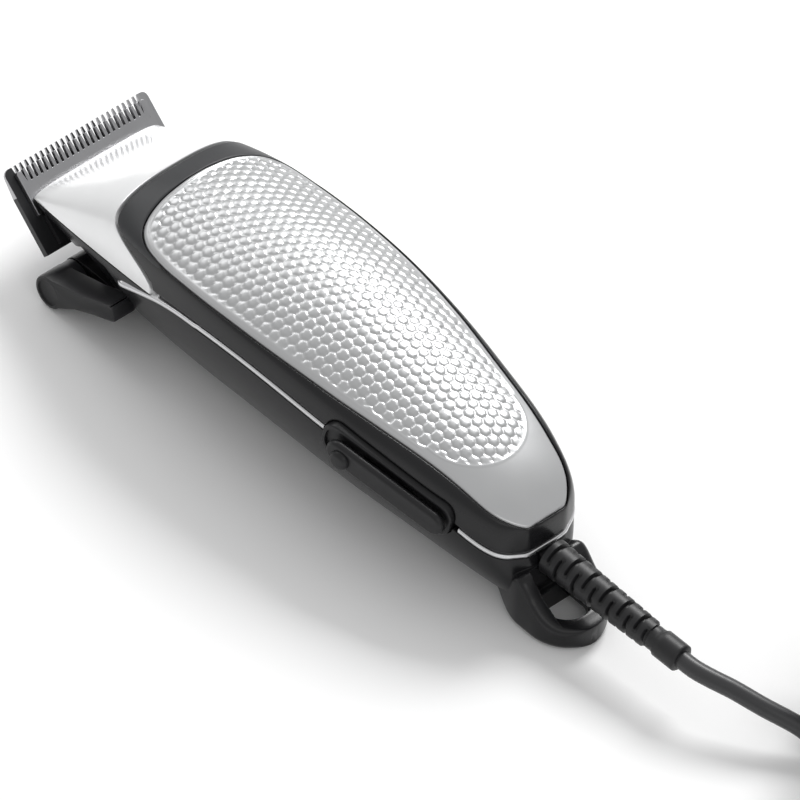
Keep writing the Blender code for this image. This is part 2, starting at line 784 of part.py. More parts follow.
def blade_slots(obj, matrix, sides):
    for side in sides:
        obj_slot = extruded("screw_slot", rounded_outline(3.8, 8.0, 1.85, 4), -4.0, 4.0,
                            matrix @ Matrix.Translation((side * 11.0 * MM, -17.6 * MM, 0)))
        cut(obj, obj_slot)


def fixed_blade():
    """The comb: the outer blade, which the taper lever slides along its own plane."""
    matrix = blade_matrix()
    outline = toothed_outline(COMB_WIDTH, COMB_DEPTH, TOOTH_COUNT, TOOTH_LENGTH, 0.0)
    mesh = extruded("fixed_blade", outline, -COMB_THICK, 0.0, Matrix.Identity(4))
    for vertex in mesh.vertices:
        if vertex.co.z < -MM * (COMB_THICK - 0.1):
            tip = min(max((vertex.co.y / MM + 8.0) / 8.0, 0.0), 1.0)
            vertex.co.z += (COMB_THICK - 0.5) * MM * tip
    mesh.transform(matrix)
    obj = add_object("fixed_blade", mesh, blade_steel(), matrix.translation, 25.0)
    blade_slots(obj, matrix, (-1, 1))
    tongue = box_mesh("comb_tongue", (-3.6, -26.4, -1.8), (3.6, -21.0, -0.2), matrix)
    join(obj, tongue)
    return obj


def moving_blade():
    """The cutter, which slides sideways on the comb."""
    matrix = blade_matrix() @ Matrix.Translation((0, 0, CUTTER_GAP * MM))
    outline = toothed_outline(CUTTER_WIDTH, CUTTER_DEPTH, TOOTH_COUNT - 1, 4.6, CUTTER_SETBACK)
    mesh = extruded("moving_blade", outline, 0.0, CUTTER_THICK, matrix)
    return add_object("moving_blade", mesh, blade_steel(), matrix.translation, 25.0)


def drive_guide():
    """The nylon saddle on the cutter that the drive arm's tip sits in."""
    matrix = blade_matrix() @ Matrix.Translation((0, 0, (2 * CUTTER_GAP + CUTTER_THICK) * MM))
    obj = add_object("drive_guide", box_mesh("drive_guide", (-5.5, -12.8, 0.0), (5.5, -9.4, 2.8), matrix), nylon())
    cut(obj, box_mesh("guide_slot", (-2.7, -14.0, 0.7), (2.7, -7.0, 6.0), matrix))
    return obj


def blade_support():
    """The steel plate behind the comb that spaces it from the housing."""
    matrix = blade_matrix()
    mesh = box_mesh("blade_support", (-18.6, -21.3, 0.25), (18.6, -13.6, 1.65), matrix)
    obj = add_object("blade_support", mesh, zinc_steel())
    for side in (-1, 1):
        hole = turned("support_hole", [(1.75, -1.0), (1.75, 4.0)],
                      matrix @ Matrix.Translation((side * 11.0 * MM, -17.6 * MM, 0)), 12)
        cut(obj, hole)
    return obj


def blade_screws():
    """Two screws through the comb's slots into the housing's front wall."""
    matrix = blade_matrix()
    for name, side in (("blade_screw_left", -1), ("blade_screw_right", 1)):
        place = matrix @ Matrix.Translation((side * 11.0 * MM, -17.6 * MM, 0))
        profile = [(1.35, 4.2), (1.35, -COMB_THICK - 0.3), (3.0, -COMB_THICK - 0.3), (2.7, -COMB_THICK - 1.5)]
        mesh = turned(name, profile[::-1], place, 14)
        obj = add_object(name, mesh, zinc_steel())
        cut(obj, box_mesh("driver_slot", (-4.0, -0.4, -5.0), (4.0, 0.4, -COMB_THICK - 0.9), place))


def blade_screw_holes():
    matrix = blade_matrix()
    return [turned("blade_screw_hole", [(1.7, 0.5), (1.7, 6.0)],
                   matrix @ Matrix.Translation((side * 11.0 * MM, -17.6 * MM, 0)), 12) for side in (-1, 1)]


def cutter_spring():
    """A bent wire that presses the cutter against the comb."""
    matrix = blade_matrix()
    level = 2.1
    route = [(-14.0, -17.0), (-14.0, -13.2), (-13.2, -10.6), (-11.4, -9.6), (-9.6, -10.6), (-8.8, -13.0),
             (-8.8, -17.0)]
    points = [matrix @ (Vector((x, back, level)) * MM) for x, back in route]
    return wire("cutter_spring", points, 0.3, spring_steel(), 1)


def wire(name, points, radius, surface, resolution):
    """A round wire through world points: a curve with a bevel and filled caps."""
    curve = bpy.data.curves.new(name, "CURVE")
    curve.dimensions = "3D"
    curve.bevel_depth = radius * MM
    curve.bevel_resolution = resolution
    curve.use_fill_caps = True
    spline = curve.splines.new("POLY")
    spline.points.add(len(points) - 1)
    for slot, point in zip(spline.points, points):
        slot.co = (*point, 1.0)
    curve.materials.append(surface)
    obj = bpy.data.objects.new(name, curve)
    bpy.context.scene.collection.objects.link(obj)
    return obj


# --- taper lever --------------------------------------------------------------------------------------------


def lever_outline():
    """The lever from the side, as (station, height) about the shaft: a round hub and an arm that tapers."""
    outline = []
    for k in range(13):
        angle = LEVER_ANGLE + math.radians(62) + math.radians(236) * k / 12
        outline.append((LEVER_HUB_RADIUS * math.cos(angle), LEVER_HUB_RADIUS * math.sin(angle)))
    for reach, side in ((9.0, -2.5), (16.0, -2.2), (LEVER_REACH - 0.6, -2.4), (LEVER_REACH, -1.8),
                        (LEVER_REACH, 1.6), (LEVER_REACH - 0.6, 2.2), (14.0, 2.4), (8.0, 3.2)):
        outline.append((reach * math.cos(LEVER_ANGLE) - side * math.sin(LEVER_ANGLE),
                        reach * math.sin(LEVER_ANGLE) + side * math.cos(LEVER_ANGLE)))
    return [(SHAFT_STATION + a, SHAFT_HEIGHT + b) for a, b in outline]


def taper_lever():
    """The lever on the left end of the taper shaft."""
    mesh = side_prism("taper_lever", lever_outline(), LEVER_OUTER_X, LEVER_OUTER_X + LEVER_WIDTH)
    obj = add_object("taper_lever", mesh, charcoal(), place_point((0, SHAFT_STATION, SHAFT_HEIGHT)))
    join(obj, turned("lever_hub", [(LEVER_HUB_RADIUS - 0.1, 0.0), (LEVER_HUB_RADIUS - 0.1, 9.2)],
                     axis_matrix((LEVER_OUTER_X + 0.02, SHAFT_STATION, SHAFT_HEIGHT), (0, SHAFT_STATION, SHAFT_HEIGHT)),
                     20))
    cut(obj, turned("hub_bore", [(1.85, 0.0), (1.85, 20.0)],
                    axis_matrix((LEVER_OUTER_X + 3.0, SHAFT_STATION, SHAFT_HEIGHT), (0, SHAFT_STATION, SHAFT_HEIGHT)),
                    12))
    return obj


def taper_shaft():
    shaft = turned("taper_shaft", [(1.5, 0.0), (1.5, 39.0)],
                   axis_matrix((-22.2, SHAFT_STATION, SHAFT_HEIGHT), (20.0, SHAFT_STATION, SHAFT_HEIGHT)), 12)
    return add_object("taper_shaft", shaft, zinc_steel(), place_point((0, SHAFT_STATION, SHAFT_HEIGHT)))


def taper_cam():
    """The eccentric that moves the comb: a disc set off the shaft's axis."""
    centre = (-3.0, SHAFT_STATION + 0.7, SHAFT_HEIGHT + 0.55)
    disc = turned("taper_cam", [(3.0, 0.0), (3.0, 6.0)], axis_matrix(centre, (3.0, centre[1], centre[2])), 16)
    obj = add_object("taper_cam", disc, nylon(), place_point((0, SHAFT_STATION, SHAFT_HEIGHT)))
    cut(obj, turned("cam_bore", [(1.8, -2.0), (1.8, 9.0)],
                    axis_matrix((-3.0, SHAFT_STATION, SHAFT_HEIGHT), (9.0, SHAFT_STATION, SHAFT_HEIGHT)), 12))
    return obj


# --- pivot motor and wiring ---------------------------------------------------------------------------------


def stator_core():
    """An E-shaped stack of laminations whose three poles face the armature."""
    spine = [(-14.2, 110.0), (-14.2, 72.0)]
    poles = []
    for front, rear in ((72.0, 78.0), (87.5, 94.5), (104.0, 110.0)):
        poles += [(-9.0, front), (3.0, front), (3.0, rear), (-9.0, rear)]
    outline = spine + poles[1:-1]
    mesh = plan_prism("stator_core", outline, MOTOR_HEIGHT - 7.0, MOTOR_HEIGHT + 7.0)
    obj = add_object("stator_core", mesh, lamination_steel())
    for station in (75.0, 107.0):
        hole = turned("core_hole", [(1.7, -12.0), (1.7, 12.0)],
                      axis_matrix((-11.6, station, MOTOR_HEIGHT), (-11.6, station, 40.0)), 12)
        cut(obj, hole)
    return obj


def coil_bobbin():
    """The former that the winding sits on, around the middle pole."""
    low, high = MOTOR_HEIGHT - 11.4, MOTOR_HEIGHT + 11.4
    obj = add_object("coil_bobbin", box_mesh("coil_bobbin", (-8.7, 83.5, low), (2.6, 98.5, high)), nylon())
    cut(obj, box_mesh("bobbin_waist", (-7.5, 70.0, 0.0), (1.4, 112.0, 45.0)))
    join(obj, box_mesh("bobbin_tube", (-8.0, 85.9, MOTOR_HEIGHT - 8.6), (2.0, 96.1, MOTOR_HEIGHT + 8.6)))
    cut(obj, box_mesh("pole_hole", (-12.0, 87.2, MOTOR_HEIGHT - 7.3), (6.0, 94.8, MOTOR_HEIGHT + 7.3)))
    return obj


def coil_winding():
    """The copper winding, as the outer shape of its turns."""
    obj = add_object("coil_winding", box_mesh("coil_winding", (-7.2, 80.0, MOTOR_HEIGHT - 11.2),
                                              (1.1, 102.0, MOTOR_HEIGHT + 11.2)), copper())
    cut(obj, box_mesh("winding_hole", (-12.0, 85.6, MOTOR_HEIGHT - 8.9), (6.0, 96.4, MOTOR_HEIGHT + 8.9)))
    return obj


def core_screws():
    """Screws that hold the core down on the housing's posts."""
    for name, station in (("core_screw_front", 75.0), ("core_screw_rear", 107.0)):
        profile = [(1.4, MOTOR_HEIGHT - 8.0), (1.4, MOTOR_HEIGHT + 7.3), (2.8, MOTOR_HEIGHT + 7.3),
                   (2.4, MOTOR_HEIGHT + 9.0)]
        mesh = turned(name, profile, axis_matrix((-11.6, station, 0.0), (-11.6, station, 40.0)), 12)
        add_object(name, mesh, zinc_steel())


def armature_block():
    """The iron that the core pulls, on the drive arm beside the poles."""
    mesh = box_mesh("armature_block", (4.8, 73.0, MOTOR_HEIGHT - 6.5), (9.3, 109.0, MOTOR_HEIGHT + 6.5), bevel=0.4)
    return add_object("armature_block", mesh, lamination_steel(), pivot_point())


def pivot_point():
    return place_point((ARMATURE_PIVOT[0], ARMATURE_PIVOT[1], MOTOR_HEIGHT))


def drive_arm():
    """The arm from the armature forwards to the cutter."""
    low, high = MOTOR_HEIGHT - 2.4, MOTOR_HEIGHT + 1.2
    outline = [(9.6, 112.0), (13.2, 112.0), (13.2, 66.0), (6.5, 52.0), (3.6, 30.0), (2.0, 22.0), (2.0, 11.5),
               (-2.0, 11.5), (-2.0, 22.0), (-1.5, 31.0), (1.5, 54.0), (9.6, 71.0)]
    mesh = plan_prism("drive_arm", outline, low, high)
    for vertex in mesh.vertices:
        station = TIP_Y - vertex.co.y / MM
        vertex.co.z += MM * 4.0 * min(max((31.0 - station) / 19.5, 0.0), 1.0)
    return add_object("drive_arm", mesh, zinc_steel(), pivot_point())


def leaf_spring():
    """The flat spring that carries the armature and lets it swing."""
    mesh = box_mesh("leaf_spring", (10.4, 112.4, MOTOR_HEIGHT - 5.0), (11.0, 121.6, MOTOR_HEIGHT + 5.0))
    return add_object("leaf_spring", mesh, spring_steel())


def spring_bracket():
    """The post that the leaf spring is fixed to."""
    mesh = box_mesh("spring_bracket", (6.0, 122.0, 13.4), (13.2, 127.6, MOTOR_HEIGHT + 6.0), bevel=0.5)
    return add_object("spring_bracket", mesh, zinc_steel())


def power_screw():
    """The screw on the right side that tunes the armature's stroke."""
    tip = (14.3, 80.0, MOTOR_HEIGHT + 2.0)
    matrix = axis_matrix(tip, (30.0, 80.0, MOTOR_HEIGHT + 2.0))
    profile = [(1.6, 0.0), (1.6, 5.8), (3.4, 5.8), (3.4, 9.5)]
    obj = add_object("power_screw", turned("power_screw", profile, matrix, 14), zinc_steel(), place_point(tip))
    cut(obj, box_mesh("power_slot", (-5.0, -0.5, 8.5), (5.0, 0.5, 14.0), matrix))
    return obj


def power_screw_hole():
    return turned("power_screw_hole", [(3.9, 0.0), (3.9, 20.0)],
                  axis_matrix((18.0, 80.0, MOTOR_HEIGHT + 2.0), (30.0, 80.0, MOTOR_HEIGHT + 2.0)), 16)


def terminal_block():
    obj = add_object("terminal_block", box_mesh("terminal_block", (-7.0, 129.0, 9.0), (5.0, 136.0, 17.0), bevel=0.5),
                     nylon())
    return obj


def cord_clamp():
    """The bar that holds the cord inside the tail."""
    obj = add_object("cord_clamp", box_mesh("cord_clamp", (-9.0, 148.5, 19.4), (9.0, 154.5, 21.4), bevel=0.4), black())
    return obj


def clamp_screws():
    for name, x in (("clamp_screw_left", -6.4), ("clamp_screw_right", 6.4)):
        profile = [(2.4, 21.7), (2.0, 23.2)]
        mesh = turned(name, profile, axis_matrix((x, 151.5, 0.0), (x, 151.5, 40.0)), 12)
        add_object(name, mesh, zinc_steel())


def housing_screws():
    """Screws from below that hold the two housings together."""
    for name, (x, station) in HOUSING_SCREWS.items():
        profile = [(3.1, -0.0 + 0.15), (3.1, 1.0), (1.4, 1.0), (1.4, 11.0)]
        mesh = turned(name, profile, axis_matrix((x, station, 0.0), (x, station, 9.0)), 12)
        add_object(name, mesh, zinc_steel())


# --- cord, coil and plug ------------------------------------------------------------------------------------


def strain_relief():
    """A tapered rubber sleeve with ribs, which ends in a plain collar."""
    length = (Vector(RELIEF_END) - Vector(RELIEF_START)).length
    ribs = 12
    pitch = (length - 9.0) / ribs
    profile = []
    for k in range(ribs):
        level = pitch * k
        radius = 4.5 - 1.0 * k / ribs
        profile += [(radius, level), (radius, level + 0.55 * pitch), (radius - 1.0, level + 0.6 * pitch),
                    (radius - 1.0, level + 0.95 * pitch)]
    profile += [(3.55, length - 6.6), (3.4, length)]
    mesh = turned("strain_relief", profile, axis_matrix(RELIEF_START, RELIEF_END), 12)
    obj = add_object("strain_relief", mesh, rubber())
    join(obj, box_mesh("relief_root", (-2.4, 160.5, 12.4), (2.4, 168.2, 17.2)))
    return obj


def mains_cord():
    """The visible stretch of the cord, from the strain relief to the coil."""
    start = Vector(RELIEF_END)
    forward = (start - Vector(RELIEF_START)).normalized()
    route = [tuple(start + forward * GAP)] + CORD_ROUTE
    points = [place_point(p) for p in curve_through(route, 14)]
    return wire("mains_cord", points, CORD_DIAMETER / 2, rubber(), 3)


def cord_coil():
    """The outer shape of the coiled length: a turned ring."""
    half = TURN_PITCH * COIL_TURNS_ACROSS / 2
    height = TURN_PITCH * COIL_LAYERS
    inner, outer = COIL_MIDDLE_RADIUS - half, COIL_MIDDLE_RADIUS + half
    corner = CORD_DIAMETER / 2
    section = [(outer - corner, 0.0), (outer, corner), (outer, height - corner), (outer - corner, height),
               (inner + corner, height), (inner, height - corner), (inner, corner), (inner + corner, 0.0)]
    sides = 32
    points = []
    for k in range(sides):
        angle = 2 * math.pi * k / sides
        for radius, level in section:
            points.append(place_point((COIL_CENTRE[0] + radius * math.cos(angle),
                                       COIL_CENTRE[1] + radius * math.sin(angle), COIL_BASE + level)))
    numbers = np.arange(len(points)).reshape(sides, len(section)).tolist()
    faces = []
    for k in range(sides):
        faces += strip_faces(numbers[k], numbers[(k + 1) % sides], closed=True)
    return add_object("cord_coil", mesh_of("cord_coil", points, faces), rubber())


def coil_tie():
    """A thin strap around the coil's turns."""
    half = TURN_PITCH * COIL_TURNS_ACROSS / 2 + 2 * GAP
    top = COIL_BASE + TURN_PITCH * COIL_LAYERS + GAP
    thick = 0.35
    angle = math.radians(120)
    foot = place_point((COIL_CENTRE[0] + COIL_MIDDLE_RADIUS * math.cos(angle),
                        COIL_CENTRE[1] + COIL_MIDDLE_RADIUS * math.sin(angle), 0.05))
    radial = Vector((math.cos(angle), -math.sin(angle), 0.0))
    matrix = frame_matrix(foot, radial, Vector((0, 0, 1)).cross(radial))
    obj = add_object("coil_tie", box_mesh("coil_tie", (-half - thick, -top - thick, -3.0), (half + thick, 0.0, 3.0),
                                          matrix), black())
    cut(obj, box_mesh("tie_hole", (-half, -top, -5.0), (half, -thick, 5.0), matrix))
    return obj


def plug_lead():
    """The last turn, which rises from the coil's top and bends into the plug."""
    bend = (PLUG_AXIS_X - (COIL_CENTRE[0] - COIL_MIDDLE_RADIUS - TURN_PITCH / 2)) / 2
    centre_x = PLUG_AXIS_X - bend
    low, high = COIL_BASE + TURN_PITCH * COIL_LAYERS + GAP + CORD_DIAMETER / 2, PLUG_HEIGHT
    route = []
    for k in range(10):
        share = k / 9
        angle = math.pi * (1.08 - 1.08 * share)
        route.append((centre_x + bend * math.cos(angle), PLUG_ENTRY_STATION + bend * math.sin(angle),
                      low + (high - low) * share**1.5))
    return wire("plug_lead", [place_point(p) for p in curve_through(route, 16)], CORD_DIAMETER / 2, rubber(), 3)


def plug_body():
    """A flat two-pin mains plug."""
    entry = place_point((PLUG_AXIS_X, PLUG_ENTRY_STATION, PLUG_HEIGHT))
    matrix = frame_matrix(entry, (1, 0, 0), (0, 0, 1))
    right = [(3.6, 2 * GAP), (4.6, 8.5), (16.0, 13.0), (17.6, 16.0), (17.6, PLUG_LENGTH - 2), (16.8, PLUG_LENGTH)]
    outline = right + [(-x, along) for x, along in reversed(right)]
    obj = add_object("plug_body", extruded("plug_body", outline, -6.6, 6.6, matrix), rubber())
    bevel = obj.modifiers.new("soft_edges", "BEVEL")
    bevel.width = 1.2 * MM
    bevel.segments = 2
    bevel.limit_method = "ANGLE"
    return obj


def plug_pins():
    for name, x in (("plug_pin_left", -9.0), ("plug_pin_right", 9.0)):
        start = (PLUG_AXIS_X + x, PLUG_ENTRY_STATION - PLUG_LENGTH - GAP, PLUG_HEIGHT)
        end = (start[0], start[1] - 18.7, PLUG_HEIGHT)
        mesh = turned(name, [(2.0, 0.0), (2.0, 17.6), (1.3, 18.7)], axis_matrix(start, end), 12)
        add_object(name, mesh, nickel())


def build():
    clear_scene()
    lower_housing()
    grip_frame()
    grip_panel()
    head_cover()
    trims()
    switch_bezel()
    switch_slider()
    switch_body()
    fixed_blade()
    moving_blade()
    drive_guide()
    blade_support()
    blade_screws()
    cutter_spring()
    taper_lever()
    taper_shaft()
    taper_cam()
    stator_core()
    coil_bobbin()
    coil_winding()
    core_screws()
    armature_block()
    drive_arm()
    leaf_spring()
    spring_bracket()
    power_screw()
    terminal_block()
    cord_clamp()
    clamp_screws()
    housing_screws()
    strain_relief()
    mains_cord()
    cord_coil()
    coil_tie()
    plug_lead()
    plug_body()
    plug_pins()


if __name__ == "__main__":
    build()
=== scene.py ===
"""The looks of the hair clipper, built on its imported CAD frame.

Points are (x, station, height) in millimetres, as in the part's source: x to the clipper's right, station
backwards from the comb's tips, height above the surface. spot() turns them into metres in the frame.
"""

import math

import bmesh
import bpy
import numpy as np
from mathutils import Matrix, Vector

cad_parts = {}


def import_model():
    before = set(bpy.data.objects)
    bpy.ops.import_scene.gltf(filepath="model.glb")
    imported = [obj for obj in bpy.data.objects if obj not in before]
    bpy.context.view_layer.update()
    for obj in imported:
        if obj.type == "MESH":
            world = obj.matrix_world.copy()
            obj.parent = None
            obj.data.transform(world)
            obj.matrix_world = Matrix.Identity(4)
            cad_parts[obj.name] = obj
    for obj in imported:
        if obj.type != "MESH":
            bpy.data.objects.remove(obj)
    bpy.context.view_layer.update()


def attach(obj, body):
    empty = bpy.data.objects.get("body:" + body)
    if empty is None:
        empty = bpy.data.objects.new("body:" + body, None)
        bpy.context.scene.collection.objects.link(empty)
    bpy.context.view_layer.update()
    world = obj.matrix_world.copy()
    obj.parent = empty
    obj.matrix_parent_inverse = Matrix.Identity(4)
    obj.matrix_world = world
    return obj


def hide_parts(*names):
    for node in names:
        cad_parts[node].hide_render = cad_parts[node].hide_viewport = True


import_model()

MM = 0.001
TIP_Y = 91.5
GAP = 0.3
WALL = 2.0

# Seam, crown and keel of the body: (value, station) or (station, value), as in the part's source.
SEAM_PLAN = [(19.5, 7.6), (22.0, 28.0), (24.2, 53.0), (25.0, 80.0), (23.3, 110.0), (20.0, 133.0),
             (16.8, 150.0), (12.6, 160.8), (6.5, 164.8), (3.0, 165.3)]
SEAM_HEIGHT = [(7.6, 23.4), (30.0, 26.6), (53.0, 29.8), (84.0, 32.8), (113.0, 30.6), (149.0, 24.3),
               (160.0, 20.0), (165.3, 18.4)]
SEAM_BAND = 1.9
CROWN_HEIGHT = [(7.6, 24.7), (20.0, 33.6), (30.0, 40.0), (38.0, 44.2), (43.0, 45.5), (60.0, 47.0),
                (76.0, 47.6), (92.7, 47.0), (125.0, 42.0), (148.6, 36.2), (158.0, 31.8), (165.3, 27.0)]
KEEL_HEIGHT = [(7.9, 9.0), (20.0, 5.5), (36.0, 0.8), (50.0, -0.5), (90.0, -0.7), (140.0, -0.5), (165.3, 0.4)]
PANEL_PLAN = [(3.0, 42.4), (12.0, 42.9), (18.2, 44.8), (21.4, 48.6), (22.8, 54.5), (23.4, 64.0),
              (23.4, 76.0), (22.5, 93.0), (20.4, 111.0), (17.9, 125.5), (13.8, 148.0), (11.3, 158.0),
              (6.6, 163.8), (2.5, 164.6)]
LOOP_TOP = [(150.0, 3.5), (158.0, 10.0), (163.0, 13.0), (167.0, 15.0), (172.0, 10.5), (178.0, 6.6),
            (183.0, 5.6)]
HULL_POWER = 1.72
HULL_START = 9.4
COVER_POWER = 2.8
COVER_START = 8.0
PANEL_BOW = 0.0134
ARCH_CROWN_STATION = 35.6
ARCH_BOW = 1.2
ARCH_FOOT_STATION = 55.0
HOUSING_SCREWS = {"housing_screw_front": (0.0, 56.0), "housing_screw_middle": (0.0, 115.0),
                  "housing_screw_rear": (0.0, 142.0)}

# Grip panel: a rim around a field of hexagonal pillows that ends in a half round.
CELL_PITCH = 2.85
CELL_DOME = 0.34
FIELD_DEPTH = 0.34
RIM_WIDTH = 1.7
FIELD_END = 150.0
FIELD_END_RADIUS = 13.0
BEAD_HEIGHT = 0.14
BEAD_WIDTH = 0.16

# Blades.
TIP_HEIGHT = 27.0
BLADE_SLOPE = math.radians(40.0)
TOOTH_PITCH = 1.62
TOOTH_COUNT = 24
COMB_WIDTH = 45.0
COMB_DEPTH = 22.4
COMB_TOOTH = 4.6
UNSHADED_LENGTH = 7.0  # of the comb, from its tips; the steel behind gets a dark finish as painted shade
CUTTER_WIDTH = 40.4
CUTTER_DEPTH = 11.4
CUTTER_TOOTH = 3.2
CUTTER_SETBACK = 1.6
BLADE_SCREW_X = 11.0
BLADE_SCREW_REACH = 17.6

# Taper lever and switch.
SHAFT_STATION = 20.9
SHAFT_HEIGHT = 5.0
LEVER_ANGLE = math.radians(24.0)
SWITCH_FRONT = (-23.4, 114.5, 30.3)
SWITCH_REAR = (-18.0, 150.0, 24.2)
SWITCH_BAY = (38.6, 10.6, 4.0)
LEVER_FACE = -25.5

# Cord.
CORD_DIAMETER = 4.6
RELIEF_START = (0.0, 167.3, 16.4)
RELIEF_END = (2.3, 208.7, 14.0)
RELIEF_RIBS = 12
CORD_ROUTE = [(2.6, 212.5, 13.7), (4.1, 217.0, 13.0), (6.4, 222.0, 11.9), (9.3, 229.0, 10.0),
              (13.4, 237.0, 7.3), (15.3, 244.3, 4.9), (15.65, 249.5, 3.4)]
COIL_CENTRE = (41.0, 253.0)
COIL_MIDDLE_RADIUS = 23.0
COIL_LAYERS = 6
COIL_TURNS = 10
COIL_BASE = 0.7
TURN_PITCH = 4.7
PLUG_AXIS_X = 52.4
PLUG_ENTRY_STATION = 260.0
PLUG_HEIGHT = 35.8

# Camera: far off, from behind the clipper's left shoulder.
CAMERA_TARGET = (6.1, 108.5, 17.6)
CAMERA_DISTANCE = 3000.0
CAMERA_AZIMUTH = math.radians(-46.0)
CAMERA_ELEVATION = math.radians(45.0)
CAMERA_ROLL = math.radians(4.9)
VIEW_WIDTH = 186.5  # millimetres across the view at the target

# Lights and floor, in metres and watts: name, place, target, size, power.
LIGHTS = [("key", (0.55, 0.18, 0.66), (0, 0, 0.02), (0.34, 0.34), 5.6),
          ("front", (0.1, 0.75, 0.75), (0, 0.05, 0.03), (0.6, 0.4), 1.6),
          ("rear", (-0.25, -0.9, 0.7), (0, 0, 0.02), (0.7, 0.3), 0.8)]
ROOM_LIGHT = 0.62
FLOOR_HALF = 3.0
FLOOR_LEVEL = -5e-5


# --- points, curves and body surfaces ---


def spot(point):
    x, station, height = point
    return Vector((x, TIP_Y - station, height)) * MM


def curve_through(points, count):
    """count points spaced evenly along a Catmull-Rom curve through the given ones."""
    p = np.array(points, float)
    ends = np.vstack([2 * p[0] - p[1], p, 2 * p[-1] - p[-2]])
    fine = []
    for a, b, c, d in zip(ends[:-3], ends[1:-2], ends[2:-1], ends[3:]):
        for t in np.linspace(0, 1, 24, endpoint=False):
            fine.append(0.5 * (2 * b + (c - a) * t + (2 * a - 5 * b + 4 * c - d) * t**2
                               + (3 * b - a - 3 * c + d) * t**3))
    fine = np.vstack([fine, p[-1:]])
    lengths = np.concatenate([[0], np.cumsum(np.linalg.norm(np.diff(fine, axis=0), axis=1))])
    wanted = np.linspace(0, lengths[-1], count)
    return np.stack([np.interp(wanted, lengths, fine[:, k]) for k in range(p.shape[1])], 1)


def height_on(table, station):
    """A smooth value at each station, by a cubic through the table's points."""
    stations = np.array([row[0] for row in table])
    values = np.array([row[1] for row in table])
    slopes = np.gradient(values, stations)
    station = np.clip(station, stations[0], stations[-1])
    i = np.minimum(np.searchsorted(stations, station, "right") - 1, len(table) - 2)
    span = stations[i + 1] - stations[i]
    t = (station - stations[i]) / span
    return (values[i] * (2 * t**3 - 3 * t**2 + 1) + slopes[i] * span * (t**3 - 2 * t**2 + t)
            + values[i + 1] * (3 * t**2 - 2 * t**3) + slopes[i + 1] * span * (t**3 - t**2))


SEAM_FINE = curve_through(SEAM_PLAN, 400)


def seam_half_width(station):
    return np.interp(station, SEAM_FINE[:, 1], SEAM_FINE[:, 0])


def panel_height(x, station):
    return height_on(CROWN_HEIGHT, station) - PANEL_BOW * x * x


# --- camera and cord ---


def view_axes():
    """Right, up and back of the rolled camera."""
    back = Vector((
        math.sin(CAMERA_AZIMUTH) * math.cos(CAMERA_ELEVATION),
        -math.cos(CAMERA_AZIMUTH) * math.cos(CAMERA_ELEVATION),
        math.sin(CAMERA_ELEVATION),
    ))
    level = Vector((0, 0, 1)).cross(back).normalized()
    upward = back.cross(level)
    right = level * math.cos(CAMERA_ROLL) + upward * math.sin(CAMERA_ROLL)
    return right, back.cross(right), back


def make_camera():
    right, upward, back = view_axes()
    data = bpy.data.cameras.new("view")
    data.sensor_width = 36.0
    data.lens = 36.0 * CAMERA_DISTANCE / VIEW_WIDTH
    data.clip_end = 20.0
    camera = bpy.data.objects.new("view", data)
    matrix = Matrix((right, upward, back)).transposed().to_4x4()
    matrix.translation = spot(CAMERA_TARGET) + back * CAMERA_DISTANCE * MM
    camera.matrix_world = matrix
    bpy.context.scene.collection.objects.link(camera)
    bpy.context.scene.camera = camera


def coil_point(turn):
    """A point after so many turns: each layer winds inwards or outwards by one strand, then climbs."""
    layer_turns = COIL_TURNS / COIL_LAYERS
    layer = min(int(turn / layer_turns + 1e-6), COIL_LAYERS - 1)
    along = turn - layer_turns * layer
    shift = min(along / 1.15, 1.0)
    climb = min(max((along - 1.15) / (layer_turns - 1.15), 0.0), 1.0)
    reach = TURN_PITCH * (0.5 - shift) * (1 if layer % 2 == 0 else -1)
    rise = TURN_PITCH * (layer + climb * climb * (3 - 2 * climb))
    angle = 2 * math.pi * turn
    radius = COIL_MIDDLE_RADIUS + reach
    return (COIL_CENTRE[0] - radius * math.cos(angle), COIL_CENTRE[1] + radius * math.sin(angle),
            COIL_BASE + TURN_PITCH / 2 + rise)


def lead_points():
    """From the coil's top round to the plug."""
    bend = (PLUG_AXIS_X - (COIL_CENTRE[0] - COIL_MIDDLE_RADIUS - TURN_PITCH / 2)) / 2
    middle = PLUG_AXIS_X - bend
    low = COIL_BASE + TURN_PITCH * COIL_LAYERS + GAP + CORD_DIAMETER / 2
    points = []
    for share in np.linspace(0.12, 1.0, 13):
        angle = math.pi * 1.08 * (1 - share)
        points.append((middle + bend * math.cos(angle), PLUG_ENTRY_STATION + bend * math.sin(angle),
                       low + (PLUG_HEIGHT - low) * share**1.5))
    return points


def cord_route():
    """The cord's whole centre line, from inside the strain relief to the plug."""
    start, end = np.array(RELIEF_START), np.array(RELIEF_END)
    inside = [tuple(start + (end - start) * share) for share in (0.5, 0.75, 0.97)]
    coil = [coil_point(step / 16) for step in range(1, 16 * COIL_TURNS + 1)]
    return inside + CORD_ROUTE + coil + lead_points()


# --- materials ---


